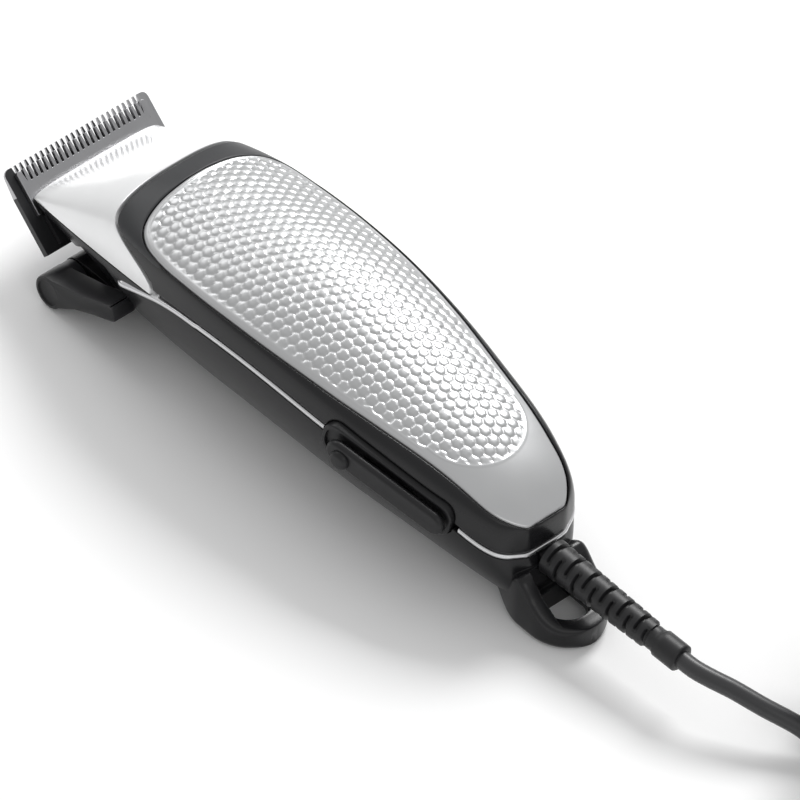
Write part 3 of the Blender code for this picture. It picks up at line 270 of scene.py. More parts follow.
def surface(name, colour, roughness, metallic=0.0, grain=900.0, bump=0.15, depth=0.00002, tint=0.12,
            spread=0.06, stretch=(1, 1, 1), worn=0.0, rounding=0.0, **sockets):
    """A finish with fine grain in colour, roughness and relief, and lighter worn edges if asked for."""
    made = bpy.data.materials.new(name)
    made.use_nodes = True
    tree = made.node_tree
    shader = tree.nodes["Principled BSDF"]
    shader.inputs["Metallic"].default_value = metallic
    for socket, value in sockets.items():
        shader.inputs[socket.replace("_", " ")].default_value = value
    place = tree.nodes.new("ShaderNodeTexCoord")
    mapping = tree.nodes.new("ShaderNodeMapping")
    mapping.inputs["Scale"].default_value = stretch
    tree.links.new(place.outputs["Object"], mapping.inputs["Vector"])
    fine = noise(tree, mapping, grain, 4.0)
    broad = noise(tree, mapping, grain / 30, 2.0)

    mixed = tree.nodes.new("ShaderNodeMix")
    mixed.data_type = "RGBA"
    mixed.inputs["A"].default_value = (*(channel * (1 - tint) for channel in colour), 1)
    mixed.inputs["B"].default_value = (*(min(channel * (1 + tint), 1.0) for channel in colour), 1)
    tree.links.new(broad.outputs["Fac"], mixed.inputs["Factor"])
    colour_out = mixed.outputs["Result"]
    if worn:
        colour_out = worn_edges(tree, colour_out, colour, worn)
    tree.links.new(colour_out, shader.inputs["Base Color"])

    shade = tree.nodes.new("ShaderNodeMapRange")
    shade.inputs["To Min"].default_value = max(roughness - spread, 0.02)
    shade.inputs["To Max"].default_value = roughness + spread
    tree.links.new(fine.outputs["Fac"], shade.inputs["Value"])
    tree.links.new(shade.outputs["Result"], shader.inputs["Roughness"])

    relief = tree.nodes.new("ShaderNodeBump")
    relief.inputs["Strength"].default_value = bump
    relief.inputs["Distance"].default_value = depth
    tree.links.new(fine.outputs["Fac"], relief.inputs["Height"])
    if rounding:
        soft = tree.nodes.new("ShaderNodeBevel")
        soft.samples = 4
        soft.inputs["Radius"].default_value = rounding * MM
        tree.links.new(soft.outputs["Normal"], relief.inputs["Normal"])
    tree.links.new(relief.outputs["Normal"], shader.inputs["Normal"])
    return made


def noise(tree, mapping, scale, detail):
    node = tree.nodes.new("ShaderNodeTexNoise")
    node.inputs["Scale"].default_value = scale
    node.inputs["Detail"].default_value = detail
    tree.links.new(mapping.outputs["Vector"], node.inputs["Vector"])
    return node


def worn_edges(tree, colour_out, colour, worn):
    """Lightens the sharpest convex edges."""
    geometry = tree.nodes.new("ShaderNodeNewGeometry")
    edge = tree.nodes.new("ShaderNodeMapRange")
    edge.inputs["From Min"].default_value = 0.53
    edge.inputs["From Max"].default_value = 0.62
    edge.inputs["To Max"].default_value = worn
    tree.links.new(geometry.outputs["Pointiness"], edge.inputs["Value"])
    lighter = tree.nodes.new("ShaderNodeMix")
    lighter.data_type = "RGBA"
    lighter.inputs["B"].default_value = (*(min(channel * 1.6 + 0.04, 1.0) for channel in colour), 1)
    tree.links.new(edge.outputs["Result"], lighter.inputs["Factor"])
    tree.links.new(colour_out, lighter.inputs["A"])
    return lighter.outputs["Result"]


RECIPES = {
    "charcoal_plastic": dict(colour=(0.010, 0.010, 0.011), roughness=0.26, grain=2600, bump=0.04,
        spread=0.03, rounding=0.45, Specular_IOR_Level=0.32),
    "arch_satin": dict(colour=(0.026, 0.027, 0.029), roughness=0.40, grain=2600, bump=0.06, spread=0.03,
        Specular_IOR_Level=0.4),
    "lever_satin": dict(colour=(0.022, 0.022, 0.024), roughness=0.36, grain=2800, bump=0.06, spread=0.03,
        rounding=0.3, Specular_IOR_Level=0.45),
    # Dark steel as painted shade, on the comb behind its tips and on the blade support.
    "painted_shade_steel": dict(colour=(0.022, 0.022, 0.024), roughness=0.42, metallic=0.4, grain=1500,
        bump=0.08, stretch=(3.0, 0.5, 0.5)),
    "silver_satin": dict(colour=(0.50, 0.505, 0.51), roughness=0.32, metallic=0.8, grain=3500, bump=0.05,
        tint=0.04, spread=0.03),
    "silver_gloss": dict(colour=(0.83, 0.835, 0.84), roughness=0.18, metallic=0.30, grain=3800, bump=0.03,
        tint=0.02, spread=0.02, Coat_Weight=0.6, Coat_Roughness=0.05),
    "trim_silver": dict(colour=(0.66, 0.66, 0.67), roughness=0.24, metallic=0.9, grain=3000, bump=0.08,
        tint=0.04),
    "black_plastic": dict(colour=(0.009, 0.009, 0.010), roughness=0.38, grain=2600, bump=0.08, spread=0.03,
        Specular_IOR_Level=0.35),
    "blade_steel": dict(colour=(0.36, 0.36, 0.37), roughness=0.30, metallic=1.0, grain=900, bump=0.35,
        tint=0.10, stretch=(4.0, 0.5, 0.5), worn=0.35),
    "zinc_steel": dict(colour=(0.52, 0.52, 0.55), roughness=0.33, metallic=1.0, grain=1300, bump=0.2,
        worn=0.3),
    "spring_steel": dict(colour=(0.30, 0.31, 0.36), roughness=0.28, metallic=1.0, grain=1500, bump=0.15),
    "lamination_steel": dict(colour=(0.19, 0.19, 0.21), roughness=0.45, metallic=0.9, grain=700, bump=0.7,
        depth=0.0001, stretch=(0.1, 0.1, 3.0)),
    "copper_winding": dict(colour=(0.55, 0.24, 0.10), roughness=0.32, metallic=0.9, grain=600, bump=0.8,
        depth=0.0001, stretch=(3.0, 0.1, 0.1)),
    "white_nylon": dict(colour=(0.78, 0.77, 0.72), roughness=0.45, grain=1800, bump=0.2, tint=0.04,
        Subsurface_Weight=0.1, Subsurface_Scale=0.001),
    "cord_rubber": dict(colour=(0.011, 0.011, 0.012), roughness=0.44, grain=1700, bump=0.15, tint=0.2,
        Specular_IOR_Level=0.4),
    "cord_sheath": dict(colour=(0.030, 0.030, 0.032), roughness=0.38, grain=1500, bump=0.12, tint=0.15),
    "nickel_pin": dict(colour=(0.70, 0.68, 0.64), roughness=0.20, metallic=1.0, grain=1200, bump=0.12,
        stretch=(1.0, 0.2, 1.0)),
}

FINISHES = {name: surface(name, **recipe) for name, recipe in RECIPES.items()}


# --- meshes and pieces ---


def world(points):
    """Metres in the frame from (x, station, height) rows."""
    p = np.asarray(points, float).reshape(-1, 3)
    return np.stack([p[:, 0], TIP_Y - p[:, 1], p[:, 2]], 1) * MM


def mesh_of(name, points, faces, matrix=None):
    """A closed mesh from points in metres, its faces turned outwards."""
    mesh = bpy.data.meshes.new(name)
    mesh.from_pydata([tuple(point) for point in points], [], faces)
    shape = bmesh.new()
    shape.from_mesh(mesh)
    bmesh.ops.remove_doubles(shape, verts=shape.verts, dist=1e-7)
    bmesh.ops.recalc_face_normals(shape, faces=shape.faces)
    if shape.calc_volume(signed=True) < 0:
        bmesh.ops.reverse_faces(shape, faces=shape.faces)
    shape.to_mesh(mesh)
    shape.free()
    if matrix is not None:
        mesh.transform(matrix)
    return mesh


def strip_faces(first, second, closed=False):
    """Quads between two rows of point numbers."""
    count = len(first) if closed else len(first) - 1
    return [(first[i], first[(i + 1) % len(first)], second[(i + 1) % len(first)], second[i])
            for i in range(count)]


def loft(name, rows, matrix=None, ring=False):
    """A solid through closed sections of equal count, in metres; ring joins the last section to the first."""
    rows = np.asarray(rows, float)
    numbers = np.arange(rows.shape[0] * rows.shape[1]).reshape(rows.shape[:2]).tolist()
    faces = []
    for a, b in zip(numbers[:-1], numbers[1:]):
        faces += strip_faces(a, b, closed=True)
    if ring:
        faces += strip_faces(numbers[-1], numbers[0], closed=True)
    else:
        faces += [tuple(numbers[0]), tuple(numbers[-1])]
    return mesh_of(name, rows.reshape(-1, 3), faces, matrix)


def sheet_solid(name, outer, inner):
    """A shell from two matching grids of (x, station, height): its two skins and the rim between them."""
    outer, inner = np.asarray(outer, float), np.asarray(inner, float)
    rows, columns = outer.shape[:2]
    numbers = np.arange(2 * rows * columns).reshape(2, rows, columns)
    faces = []
    for side in numbers.tolist():
        for a, b in zip(side[:-1], side[1:]):
            faces += strip_faces(a, b)
    for edge in (numbers[:, 0], numbers[:, -1], numbers[:, :, 0], numbers[:, :, -1]):
        faces += strip_faces(edge[0].tolist(), edge[1].tolist())
    return mesh_of(name, world(np.stack([outer, inner])), faces)


def prism(name, outline, low, high, matrix, edge=0.0, steps=3):
    """An outline in millimetres, from low to high along the matrix's third axis, its end edges rounded."""
    outline = np.asarray(outline, float)
    levels = [(0.0, low), (0.0, high)]
    if edge:
        turns = np.linspace(0, math.pi / 2, steps + 1)
        rise = [(edge * (1 - math.sin(t)), edge * (1 - math.cos(t))) for t in turns]
        levels = [(inset, low + up) for inset, up in rise]
        levels += [(inset, high - up) for inset, up in reversed(rise)]
    rows = []
    for inset, level in levels:
        moved = inset_outline(outline, inset)
        rows.append(np.column_stack([moved, np.full(len(moved), level)]) * MM)
    return loft(name, rows, matrix)


def inset_outline(outline, inset):
    """A closed outline moved inwards along its own normals."""
    if not inset:
        return outline
    along = np.roll(outline, -1, axis=0) - np.roll(outline, 1, axis=0)
    along /= np.maximum(np.linalg.norm(along, axis=1), 1e-9)[:, None]
    area = np.sum(outline[:, 0] * np.roll(outline[:, 1], -1) - outline[:, 1] * np.roll(outline[:, 0], -1))
    normal = np.stack([-along[:, 1], along[:, 0]], 1) * np.sign(area)
    return outline + normal * inset


def turned(name, profile, matrix, sides=40):
    """A turned solid about the third axis of matrix, from (radius, level) millimetres; its ends are flat."""
    angles = 2 * math.pi * np.arange(sides) / sides
    rows = [np.column_stack([r * np.cos(angles), r * np.sin(angles), np.full(sides, level)]) * MM
            for r, level in profile]
    return loft(name, rows, matrix)


def box(name, low, high, matrix=None):
    outline = [(low[0], low[1]), (high[0], low[1]), (high[0], high[1]), (low[0], high[1])]
    if matrix is not None:
        return prism(name, outline, low[2], high[2], matrix)
    return loft(name, [world([(x, s, level) for x, s in outline]) for level in (low[2], high[2])])


def side_prism(name, outline, left, right):
    """A prism across the clipper from an outline of (station, height)."""
    return loft(name, [world([(x, s, z) for s, z in outline]) for x in (left, right)])


def rounded_outline(width, height, radius, steps=8):
    outline = []
    for corner, (a, b) in enumerate(((1, 1), (-1, 1), (-1, -1), (1, -1))):
        for k in range(steps + 1):
            angle = math.pi / 2 * (corner + k / steps)
            outline.append((a * (width / 2 - radius) + radius * math.cos(angle),
                            b * (height / 2 - radius) + radius * math.sin(angle)))
    return outline


def frame_matrix(origin, x_axis, z_axis):
    """Axes at a world point: the third along z_axis, the first as near x_axis as it can be."""
    z = Vector(z_axis).normalized()
    y = z.cross(Vector(x_axis)).normalized()
    matrix = Matrix((y.cross(z), y, z)).transposed().to_4x4()
    matrix.translation = origin
    return matrix


def axis_matrix(start, end):
    """Axes whose third runs from one (x, station, height) point to another."""
    a, b = spot(start), spot(end)
    along = (b - a).normalized()
    return frame_matrix(a, (1, 0, 0) if abs(along.x) < 0.9 else (0, 1, 0), along)


def shaped(mesh, joined=(), removed=(), bevel=0.0):
    """The mesh after an edge bevel and its unions and cuts."""
    host = bpy.data.objects.new("host", mesh)
    bpy.context.scene.collection.objects.link(host)
    if bevel:
        soft = host.modifiers.new("soft", "BEVEL")
        soft.width = bevel * MM
        soft.segments = 2
        soft.limit_method = "ANGLE"
        soft.angle_limit = math.radians(35)
        soft.use_clamp_overlap = False
    tools = []
    for operation, meshes in (("UNION", joined), ("DIFFERENCE", removed)):
        for other in meshes:
            tool = bpy.data.objects.new("tool", other)
            bpy.context.scene.collection.objects.link(tool)
            tools.append(tool)
            change = host.modifiers.new("change", "BOOLEAN")
            change.operation = operation
            change.solver = "EXACT"
            change.object = tool
    graph = bpy.context.evaluated_depsgraph_get()
    result = bpy.data.meshes.new_from_object(host.evaluated_get(graph))
    result.name = mesh.name
    for obj in [host] + tools:
        bpy.data.objects.remove(obj, do_unlink=True)
    return result


def piece(name, mesh, finish, body, nodes=(), smooth=35.0):
    """A visible piece that rides on a body and stands for the given CAD nodes."""
    mesh.validate()
    mesh.materials.clear()
    mesh.materials.append(FINISHES[finish])
    mesh.shade_smooth()
    mesh.set_sharp_from_angle(angle=math.radians(smooth))
    obj = bpy.data.objects.new(name, mesh)
    bpy.context.scene.collection.objects.link(obj)
    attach(obj, body)
    if nodes:
        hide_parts(*nodes)
    return obj


# --- body surfaces ---


def power_section(angle, power):
    """(across, up) on a unit superellipse; angle 0 is at the seam and pi / 2 at the middle."""
    cosine = np.cos(angle)
    return np.sign(cosine) * np.abs(cosine) ** (2 / power), np.abs(np.sin(angle)) ** (2 / power)


def cover_point(angle, station, inset=0.0):
    """On the head cover's surface: angle 0 is the left seam, pi the right one."""
    across, up = power_section(angle, COVER_POWER)
    foot = height_on(SEAM_HEIGHT, station)
    half_width = seam_half_width(station) - inset
    rise = np.maximum(height_on(CROWN_HEIGHT, station) - foot, 0.6) - inset
    return np.stack([-half_width * across, station + 0 * across, foot + np.maximum(rise, 0.2) * up], -1)


def arch_station(angle):
    """The arch bends back a little across the crown, then turns steeply down each side."""
    cosine = np.abs(np.cos(angle))
    turn = ARCH_FOOT_STATION - ARCH_CROWN_STATION - ARCH_BOW
    return ARCH_CROWN_STATION + ARCH_BOW * cosine**2 + turn * cosine**16


def hull_shear(station):
    """How far the hull's section leans back per millimetre of depth."""
    lean = max(0.0, 1.0 - (station - HULL_START) / 30.0) ** 1.5 / math.tan(BLADE_SLOPE)
    return lean + 0.30 * max(0.0, (station - 140.0) / 25.3) ** 2


def hull_row(angles, station, half_width, keel):
    foot = height_on(SEAM_HEIGHT, station) - SEAM_BAND / 2
    across, down = power_section(angles, HULL_POWER)
    height = np.maximum(foot - (foot - keel) * down, 0.0 if keel < 1.5 else keel)
    return np.stack([-half_width * across, station + hull_shear(station) * (foot - height), height], 1)


def hull_stations(front, rear, count):
    return front + (rear - front) * np.sin(np.linspace(0, 1, count) * math.pi / 2) ** 0.92


def panel_edge(count, outset):
    """Points on the right half of the panel's edge, moved outwards in plan."""
    plan = curve_through(PANEL_PLAN, count)
    along = np.gradient(plan, axis=0)
    along /= np.linalg.norm(along, axis=1)[:, None]
    moved = plan + outset * np.stack([along[:, 1], -along[:, 0]], 1)
    return np.column_stack([moved, panel_height(moved[:, 0], moved[:, 1])])


def seam_edge_points(start, count, lift):
    """Points on the right half of the seam from a station to the rear middle."""
    tail = SEAM_FINE[SEAM_FINE[:, 1] >= start]
    plan = curve_through(tail[::6].tolist() + [tail[-1].tolist()], count)
    return np.column_stack([plan, height_on(SEAM_HEIGHT, plan[:, 1]) + lift])


def edge_roll(distance, radius):
    """How far a surface drops next to an edge that is rounded."""
    inside = np.clip(radius - distance, 0.0, radius)
    return radius - np.sqrt(radius**2 - inside**2)


def smooth_share(value):
    share = np.clip(value, 0.0, 1.0)
    return share * share * (3 - 2 * share)


# --- housings ---


def lower_housing():
    """The hull under the seam, with the chin that holds the taper shaft and the hanging loop at the tail."""
    angles = np.linspace(0, math.pi, 53)
    outer, inner = [], []
    for station in hull_stations(HULL_START, 165.3, 110):
        outer.append(hull_row(angles, station, seam_half_width(station), height_on(KEEL_HEIGHT, station)))
    for station in hull_stations(HULL_START + 3.2, 162.0, 110):
        keel = max(height_on(KEEL_HEIGHT, station), 0.0) + WALL
        open_share = min(max((station - 50.0) / 12.0, 0.0), 1.0)
        half_width = 12.5 + (seam_half_width(station) - WALL - 0.6 - 12.5) * open_share
        inner.append(hull_row(angles, station, half_width, keel))
    cuts = [loop_hole(), box("scoop", (-6.6, 166.7, 6.2), (6.6, 190.0, 30.0)), lever_bay(),
            box("window", (-8.6, 1.0, 15.2), (8.6, 25.0, 33.0)),
            box("slot", (-5.5, 10.0, -3.0), (5.5, 27.3, 14.2)),
            turned("shaft_hole", [(1.8, 0.0), (1.8, 33.8)], shaft_matrix(-17.0)),
            switch_bay(),
            box("notch", (-2.8, 158.0, 12.0), (2.8, 175.0, 19.0)),
            turned("power_hole", [(3.9, 0.0), (3.9, 20.0)],
                   axis_matrix((18.0, 80.0, 21.5), (30.0, 80.0, 21.5)))]
    for x, station in HOUSING_SCREWS.values():
        cuts.append(turned("screw_hole", [(3.5, -2.0), (3.5, 1.2), (1.7, 1.2), (1.7, 12.0)],
                           axis_matrix((x, station, 0.0), (x, station, 9.0))))
    for side in (-1, 1):
        cuts.append(turned("blade_hole", [(1.7, 0.5), (1.7, 6.0)], blade_place(side)))
    mesh = shaped(tub_mesh(np.array(outer), np.array(inner)), [chin_mesh(), loop_mesh()], cuts)
    piece("housing_shell", mesh, "charcoal_plastic", "housing", ["lower_housing"])


def wall_faces(section):
    """Fills a U-shaped section with rungs from its left side to its right."""
    half = len(section) // 2
    left, right = section[: half + 1], section[::-1][: half + 1]
    return strip_faces(left[:-1], right[:-1]) + [(left[-2], left[-1], right[-2])]


def tub_mesh(outer, inner):
    """An open tub: outer and inner rows of U-shaped sections, end walls, and the rim between them."""
    numbers = np.arange(2 * outer.shape[0] * outer.shape[1]).reshape(2, *outer.shape[:2]).tolist()
    faces = []
    for side in numbers:
        for a, b in zip(side[:-1], side[1:]):
            faces += strip_faces(a, b)
        faces += wall_faces(side[0]) + wall_faces(side[-1])
    rims = [[row[0] for row in side] + [row[-1] for row in reversed(side)] for side in numbers]
    faces += strip_faces(rims[0], rims[1], closed=True)
    return mesh_of("housing_shell", world(np.stack([outer, inner])), faces)


def shaft_matrix(x):
    return axis_matrix((x, SHAFT_STATION, SHAFT_HEIGHT), (40.0, SHAFT_STATION, SHAFT_HEIGHT))


def chin_mesh():
    """A rounded bar across the front of the belly, around the taper shaft."""
    radius = 4.6
    outline = [(SHAFT_STATION + 13.0, SHAFT_HEIGHT - radius), (SHAFT_STATION + 13.0, SHAFT_HEIGHT + radius)]
    for k in range(33):
        angle = math.pi / 2 + math.pi * k / 32
        outline.append((SHAFT_STATION + radius * math.cos(angle), SHAFT_HEIGHT + radius * math.sin(angle)))
    return side_prism("chin", outline, -15.8, 17.0)


def loop_mesh():
    """The hanging loop's body: a tongue that widens out of the belly and ends in a half round."""
    radius = 10.5
    centre = 2 * TIP_Y - radius
    arc = [centre + radius * math.sin(math.radians(a)) for a in range(4, 88, 4)]
    rows = []
    for station in list(np.linspace(150.0, centre, 40)) + arc:
        width = 4.0 + (radius - 4.0) * smooth_share((station - 150.0) / 18.0)
        if station > centre:
            width = math.sqrt(radius**2 - (station - centre) ** 2)
        top = height_on(LOOP_TOP, station)
        edge = min(1.9, width / 3, top / 2.2)
        right = []
        for k in range(6):
            turn = math.pi / 2 * k / 5
            right.append((width - edge + edge * math.sin(turn), 0.05 + edge - edge * math.cos(turn)))
        for k in range(6):
            turn = math.pi / 2 * k / 5
            right.append((width - edge + edge * math.cos(turn), top - edge + edge * math.sin(turn)))
        rows.append(world([(x, station, z) for x, z in right + [(-x, z) for x, z in reversed(right)]]))
    return loft("loop", rows)


def loop_hole():
    """A U in plan, round at its rear end, that widens a little upwards and downwards."""
    rows = []
    for level, spread in ((-2.0, 2.2), (0.0, 1.0), (0.6, 0.5), (1.6, 0.0), (3.6, 0.0), (4.6, 0.2), (5.6, 0.7),
                          (6.6, 1.5), (9.0, 3.0), (20.0, 3.0)):
        half = 5.2 + min(spread, 1.6)
        centre = 178.0 - 5.2
        outline = [(half, 168.3)]
        outline += [(half * math.cos(a), centre + half * math.sin(a)) for a in np.linspace(0, math.pi, 40)]
        outline.append((-half, 168.3))
        rows.append(world([(x, s, level) for x, s in outline]))
    return loft("loop_hole", rows)


def lever_bay():
    """The recess on the left side where the taper lever swings, behind the slanted cheek."""
    outline = [(15.5, 11.5), (27.5, 23.0), (36.6, 24.0), (39.2, 22.8), (42.4, 19.2), (44.8, 14.4),
               (46.2, 9.0), (46.6, -2.0), (10.0, -2.0), (10.0, 6.0)]
    return side_prism("lever_bay", outline, -40.0, -16.2)


def switch_matrix():
    """Axes of the switch: the first forwards along it, the third out of the side."""
    front, rear = spot(SWITCH_FRONT), spot(SWITCH_REAR)
    return frame_matrix((front + rear) / 2, front - rear, (-0.94, -0.16, -0.04))


def switch_bay():
    return prism("switch_bay", rounded_outline(*SWITCH_BAY), -8.0, 8.0, switch_matrix())


def ring_edges():
    """Matching points at the panel's edge and at the arch or seam, and how flat the band lies there."""
    count, front = 190, 45
    tops = panel_edge(count, GAP)
    angles = math.pi / 2 * (1 + (np.arange(front) + 0.5) / front)
    bottoms = cover_point(angles, arch_station(angles))
    bottoms = np.vstack([bottoms, seam_edge_points(ARCH_FOOT_STATION + GAP, count - front, SEAM_BAND / 2)])
    flats = np.concatenate([np.sin(angles) ** 0.8, np.zeros(count - front)])
    mirror = np.array([-1, 1, 1])
    tops = np.vstack([tops, tops[::-1] * mirror])
    bottoms = np.vstack([bottoms, bottoms[::-1] * mirror])
    return tops, bottoms, np.concatenate([flats, flats[::-1]])


def grip_ring():
    """The black ring around the panel: a band that turns down to the seam and arches over the head."""
    tops, bottoms, flats = ring_edges()
    along = np.roll(bottoms, -1, axis=0) - np.roll(bottoms, 1, axis=0)
    inwards = np.stack([-along[:, 1], along[:, 0], 0 * along[:, 0]], 1)
    inwards /= np.linalg.norm(inwards, axis=1)[:, None]
    spans = np.linalg.norm(bottoms - tops, axis=1)
    shares = np.concatenate([[0, 0.006, 0.016, 0.03, 0.05], np.linspace(0.08, 0.92, 20),
                             [0.95, 0.97, 0.984, 0.994, 1]])
    outer, inner = [], []
    for t in shares:
        out = (1 - flats) * math.sin(math.pi * t / 2) + flats * t
        down = (1 - flats) * (1 - math.cos(math.pi * t / 2)) + flats * t
        point = tops + (bottoms - tops) * np.stack([out, out, down], 1)
        turn = t * (1 - flats)
        depth = inwards * turn[:, None]
        depth[:, 2] += turn - 1
        depth /= np.linalg.norm(depth, axis=1)[:, None]
        roll = edge_roll(np.minimum(t, 1 - t) * spans, 0.5)
        outer.append(point + depth * roll[:, None])
        inner.append(point + depth * WALL)
    columns = [world(row) for row in outer + inner[::-1]]
    mesh = loft("grip_ring", np.array(columns).transpose(1, 0, 2), ring=True)
    mesh = shaped(mesh, removed=[switch_bay()])
    ring = piece("grip_ring", mesh, "charcoal_plastic", "housing", ["grip_frame"])
    ring.data.materials.append(FINISHES["arch_satin"])
    for face in ring.data.polygons:
        station = TIP_Y - face.center.y / MM
        if face.normal.z > 0.3 and station < 56.0:
            face.material_index = 1


def head_cover():
    """The glossy cover between the blades and the arch."""
    angles = np.radians([0, *range(1, 180, 2), 180])
    shares = np.concatenate([[0, 0.006, 0.014, 0.025], np.linspace(0.045, 0.955, 44),
                             [0.975, 0.986, 0.994, 1]])
    near_foot = np.abs(np.cos(angles)) ** 6
    outer, inner = [], []
    for share in shares:
        station = COVER_START + (arch_station(angles) - 3 * GAP - COVER_START) * share
        row, under = cover_point(angles, station), []
        row[:, 2] += (GAP - SEAM_BAND / 2) * near_foot
        for angle, s, foot in zip(angles, station, near_foot):
            below = cover_point(angle, s, 1.7 if s > 12 else 1.1)
            under.append((below[0], s, below[2] + (GAP - SEAM_BAND / 2) * foot))
        under = np.array(under)
        edge = np.minimum(share, 1 - share) * (arch_station(angles) - COVER_START)
        roll = edge_roll(edge, 0.45)[:, None]
        row += (under - row) / np.maximum(np.linalg.norm(under - row, axis=1), 0.01)[:, None] * roll
        outer.append(row)
        inner.append(under)
    piece("cover_shell", sheet_solid("cover_shell", outer, inner), "silver_gloss", "housing", ["head_cover"])


# --- grip panel ---


def edge_distance(x, station):
    """Distance from each point to the panel's edge, in plan."""
    plan = curve_through(PANEL_PLAN, 260)
    plan = np.vstack([[[0.0, plan[0, 1]]], plan, [[0.0, plan[-1, 1]]]])
    near = np.full(x.shape, 1e9)
    for a, b in zip(plan[:-1], plan[1:]):
        span = b - a
        t = np.clip(((np.abs(x) - a[0]) * span[0] + (station - a[1]) * span[1]) / span.dot(span), 0, 1)
        near = np.minimum(near, np.hypot(np.abs(x) - a[0] - t * span[0], station - a[1] - t * span[1]))
    return near


def pillow(x, station):
    """Height of the hexagonal pillows, 0 in the grooves and near 1 on the domes."""
    column = CELL_PITCH * math.sqrt(3) / 2
    best = np.full(x.shape, 1e9)
    for shift in (0, 1):
        cx = (2 * np.round((x / column - shift) / 2) + shift) * column
        cs = (np.round(station / CELL_PITCH - shift / 2) + shift / 2) * CELL_PITCH
        dx, ds = x - cx, station - cs
        reach = np.maximum(np.abs(ds), np.abs(math.sqrt(3) / 2 * np.abs(dx) + np.abs(ds) / 2))
        best = np.minimum(best, reach)
    share = np.clip(best / (CELL_PITCH / 2) / 0.94, 0, 1)
    return np.sqrt(np.maximum(0.0, 1 - share**2.8))


def grip_panel():
    """The inset panel: a plain rim with a bead, around a recessed field of pillows."""
    edge = panel_edge(430, 0.0)
    across = np.linspace(-1, 1, 155)
    x = edge[:, :1] * across[None]
    station = np.repeat(edge[:, 1:2], len(across), axis=1)
    distance = edge_distance(x, station)
    tip = FIELD_END_RADIUS - np.hypot(x, station - (FIELD_END - FIELD_END_RADIUS))
    inside = np.where(station > FIELD_END - FIELD_END_RADIUS, np.minimum(distance - RIM_WIDTH, tip),
                      distance - RIM_WIDTH)
    height = panel_height(x, station) - edge_roll(distance, 0.45)
    field = smooth_share(inside / 0.5)
    height += field * (CELL_DOME * pillow(x, station) - FIELD_DEPTH)
    front = 1 - smooth_share((station - 60.0) / 40.0)
    for offset, share in ((-0.45, 0.5 + 0.5 * front), (-1.0, front)):
        height += BEAD_HEIGHT * share * np.exp(-(((inside - offset) / BEAD_WIDTH) ** 2)) * (distance > 0.3)
    top = np.stack([x, station, height], -1)
    under = [[(px, s, panel_height(px, s) - 1.8) for px in np.linspace(-e, e, 13)] for e, s in edge[:, :2]]
    points = np.vstack([world(top), world(under)])
    rows, columns = x.shape
    upper = np.arange(rows * columns).reshape(rows, columns)
    lower = rows * columns + np.arange(rows * 13).reshape(rows, 13)
    faces = []
    for side in (upper, lower):
        for a, b in zip(side[:-1].tolist(), side[1:].tolist()):
            faces += strip_faces(a, b)
    for column in (0, -1):
        faces += strip_faces(upper[:, column].tolist(), lower[:, column].tolist())
    for row in (0, -1):
        faces.append(tuple(upper[row].tolist() + lower[row][::-1].tolist()))
    mesh = mesh_of("relief_panel", points, faces)
    piece("relief_panel", mesh, "silver_satin", "housing", ["grip_panel"], smooth=60)


# --- trim and switch ---


def trim(name, points, node):
    """A rounded strip that lies along the seam, a little proud of the housings."""
    points = np.array(points)
    along = np.gradient(points, axis=0)
    along /= np.linalg.norm(along[:, :2], axis=1)[:, None]
    outward = np.stack([along[:, 1], -along[:, 0], 0 * along[:, 0]], 1)
    half = SEAM_BAND / 2 - GAP
    section = [(-1.5, half), (-0.2, half), (0.05, half - 0.12), (0.18, half - 0.32), (0.22, 0.0),
               (0.18, 0.32 - half), (0.05, 0.12 - half), (-0.2, -half), (-1.5, -half)]
    rows = []
    for point, out in zip(points, outward):
        row = []
        for depth, up in section:
            place = point + out * depth
            if depth < -1:
                place[2] = (place[2] + height_on(SEAM_HEIGHT, place[1])) / 2
            row.append(place + [0, 0, up])
        rows.append(world(row))
    piece(name, loft(name, rows), "trim_silver", "housing", [node])


def seam_run(start, end, side, count):
    stations = np.linspace(start, end, count)
    return np.column_stack([side * seam_half_width(stations), stations, height_on(SEAM_HEIGHT, stations)])


def trims():
    """The left strip, hooked at its front end, and the strip around the tail and along the right side."""
    hook = curve_through([(-22.6, 41.6, 23.1), (-23.7, 43.4, 23.9), (-24.1, 48.0, 25.9), (-24.35, 53.0, 27.9),
                          (-24.55, 58.0, 29.6), (-24.75, 64.0, 30.9), (-24.95, 70.0, 31.7)], 60)
    run = seam_run(71.0, 113.0, -1, 90)
    trim("trim_line_left", np.vstack([hook, run])[::-1], "trim_left")
    half = seam_edge_points(151.8, 40, 0.0)
    rear = np.vstack([half, (half[::-1] * [-1, 1, 1])[1:]])
    right = seam_run(ARCH_FOOT_STATION + 1, 150.0, 1, 130)
    trim("trim_line_rear", np.vstack([right, rear]), "trim_rear")


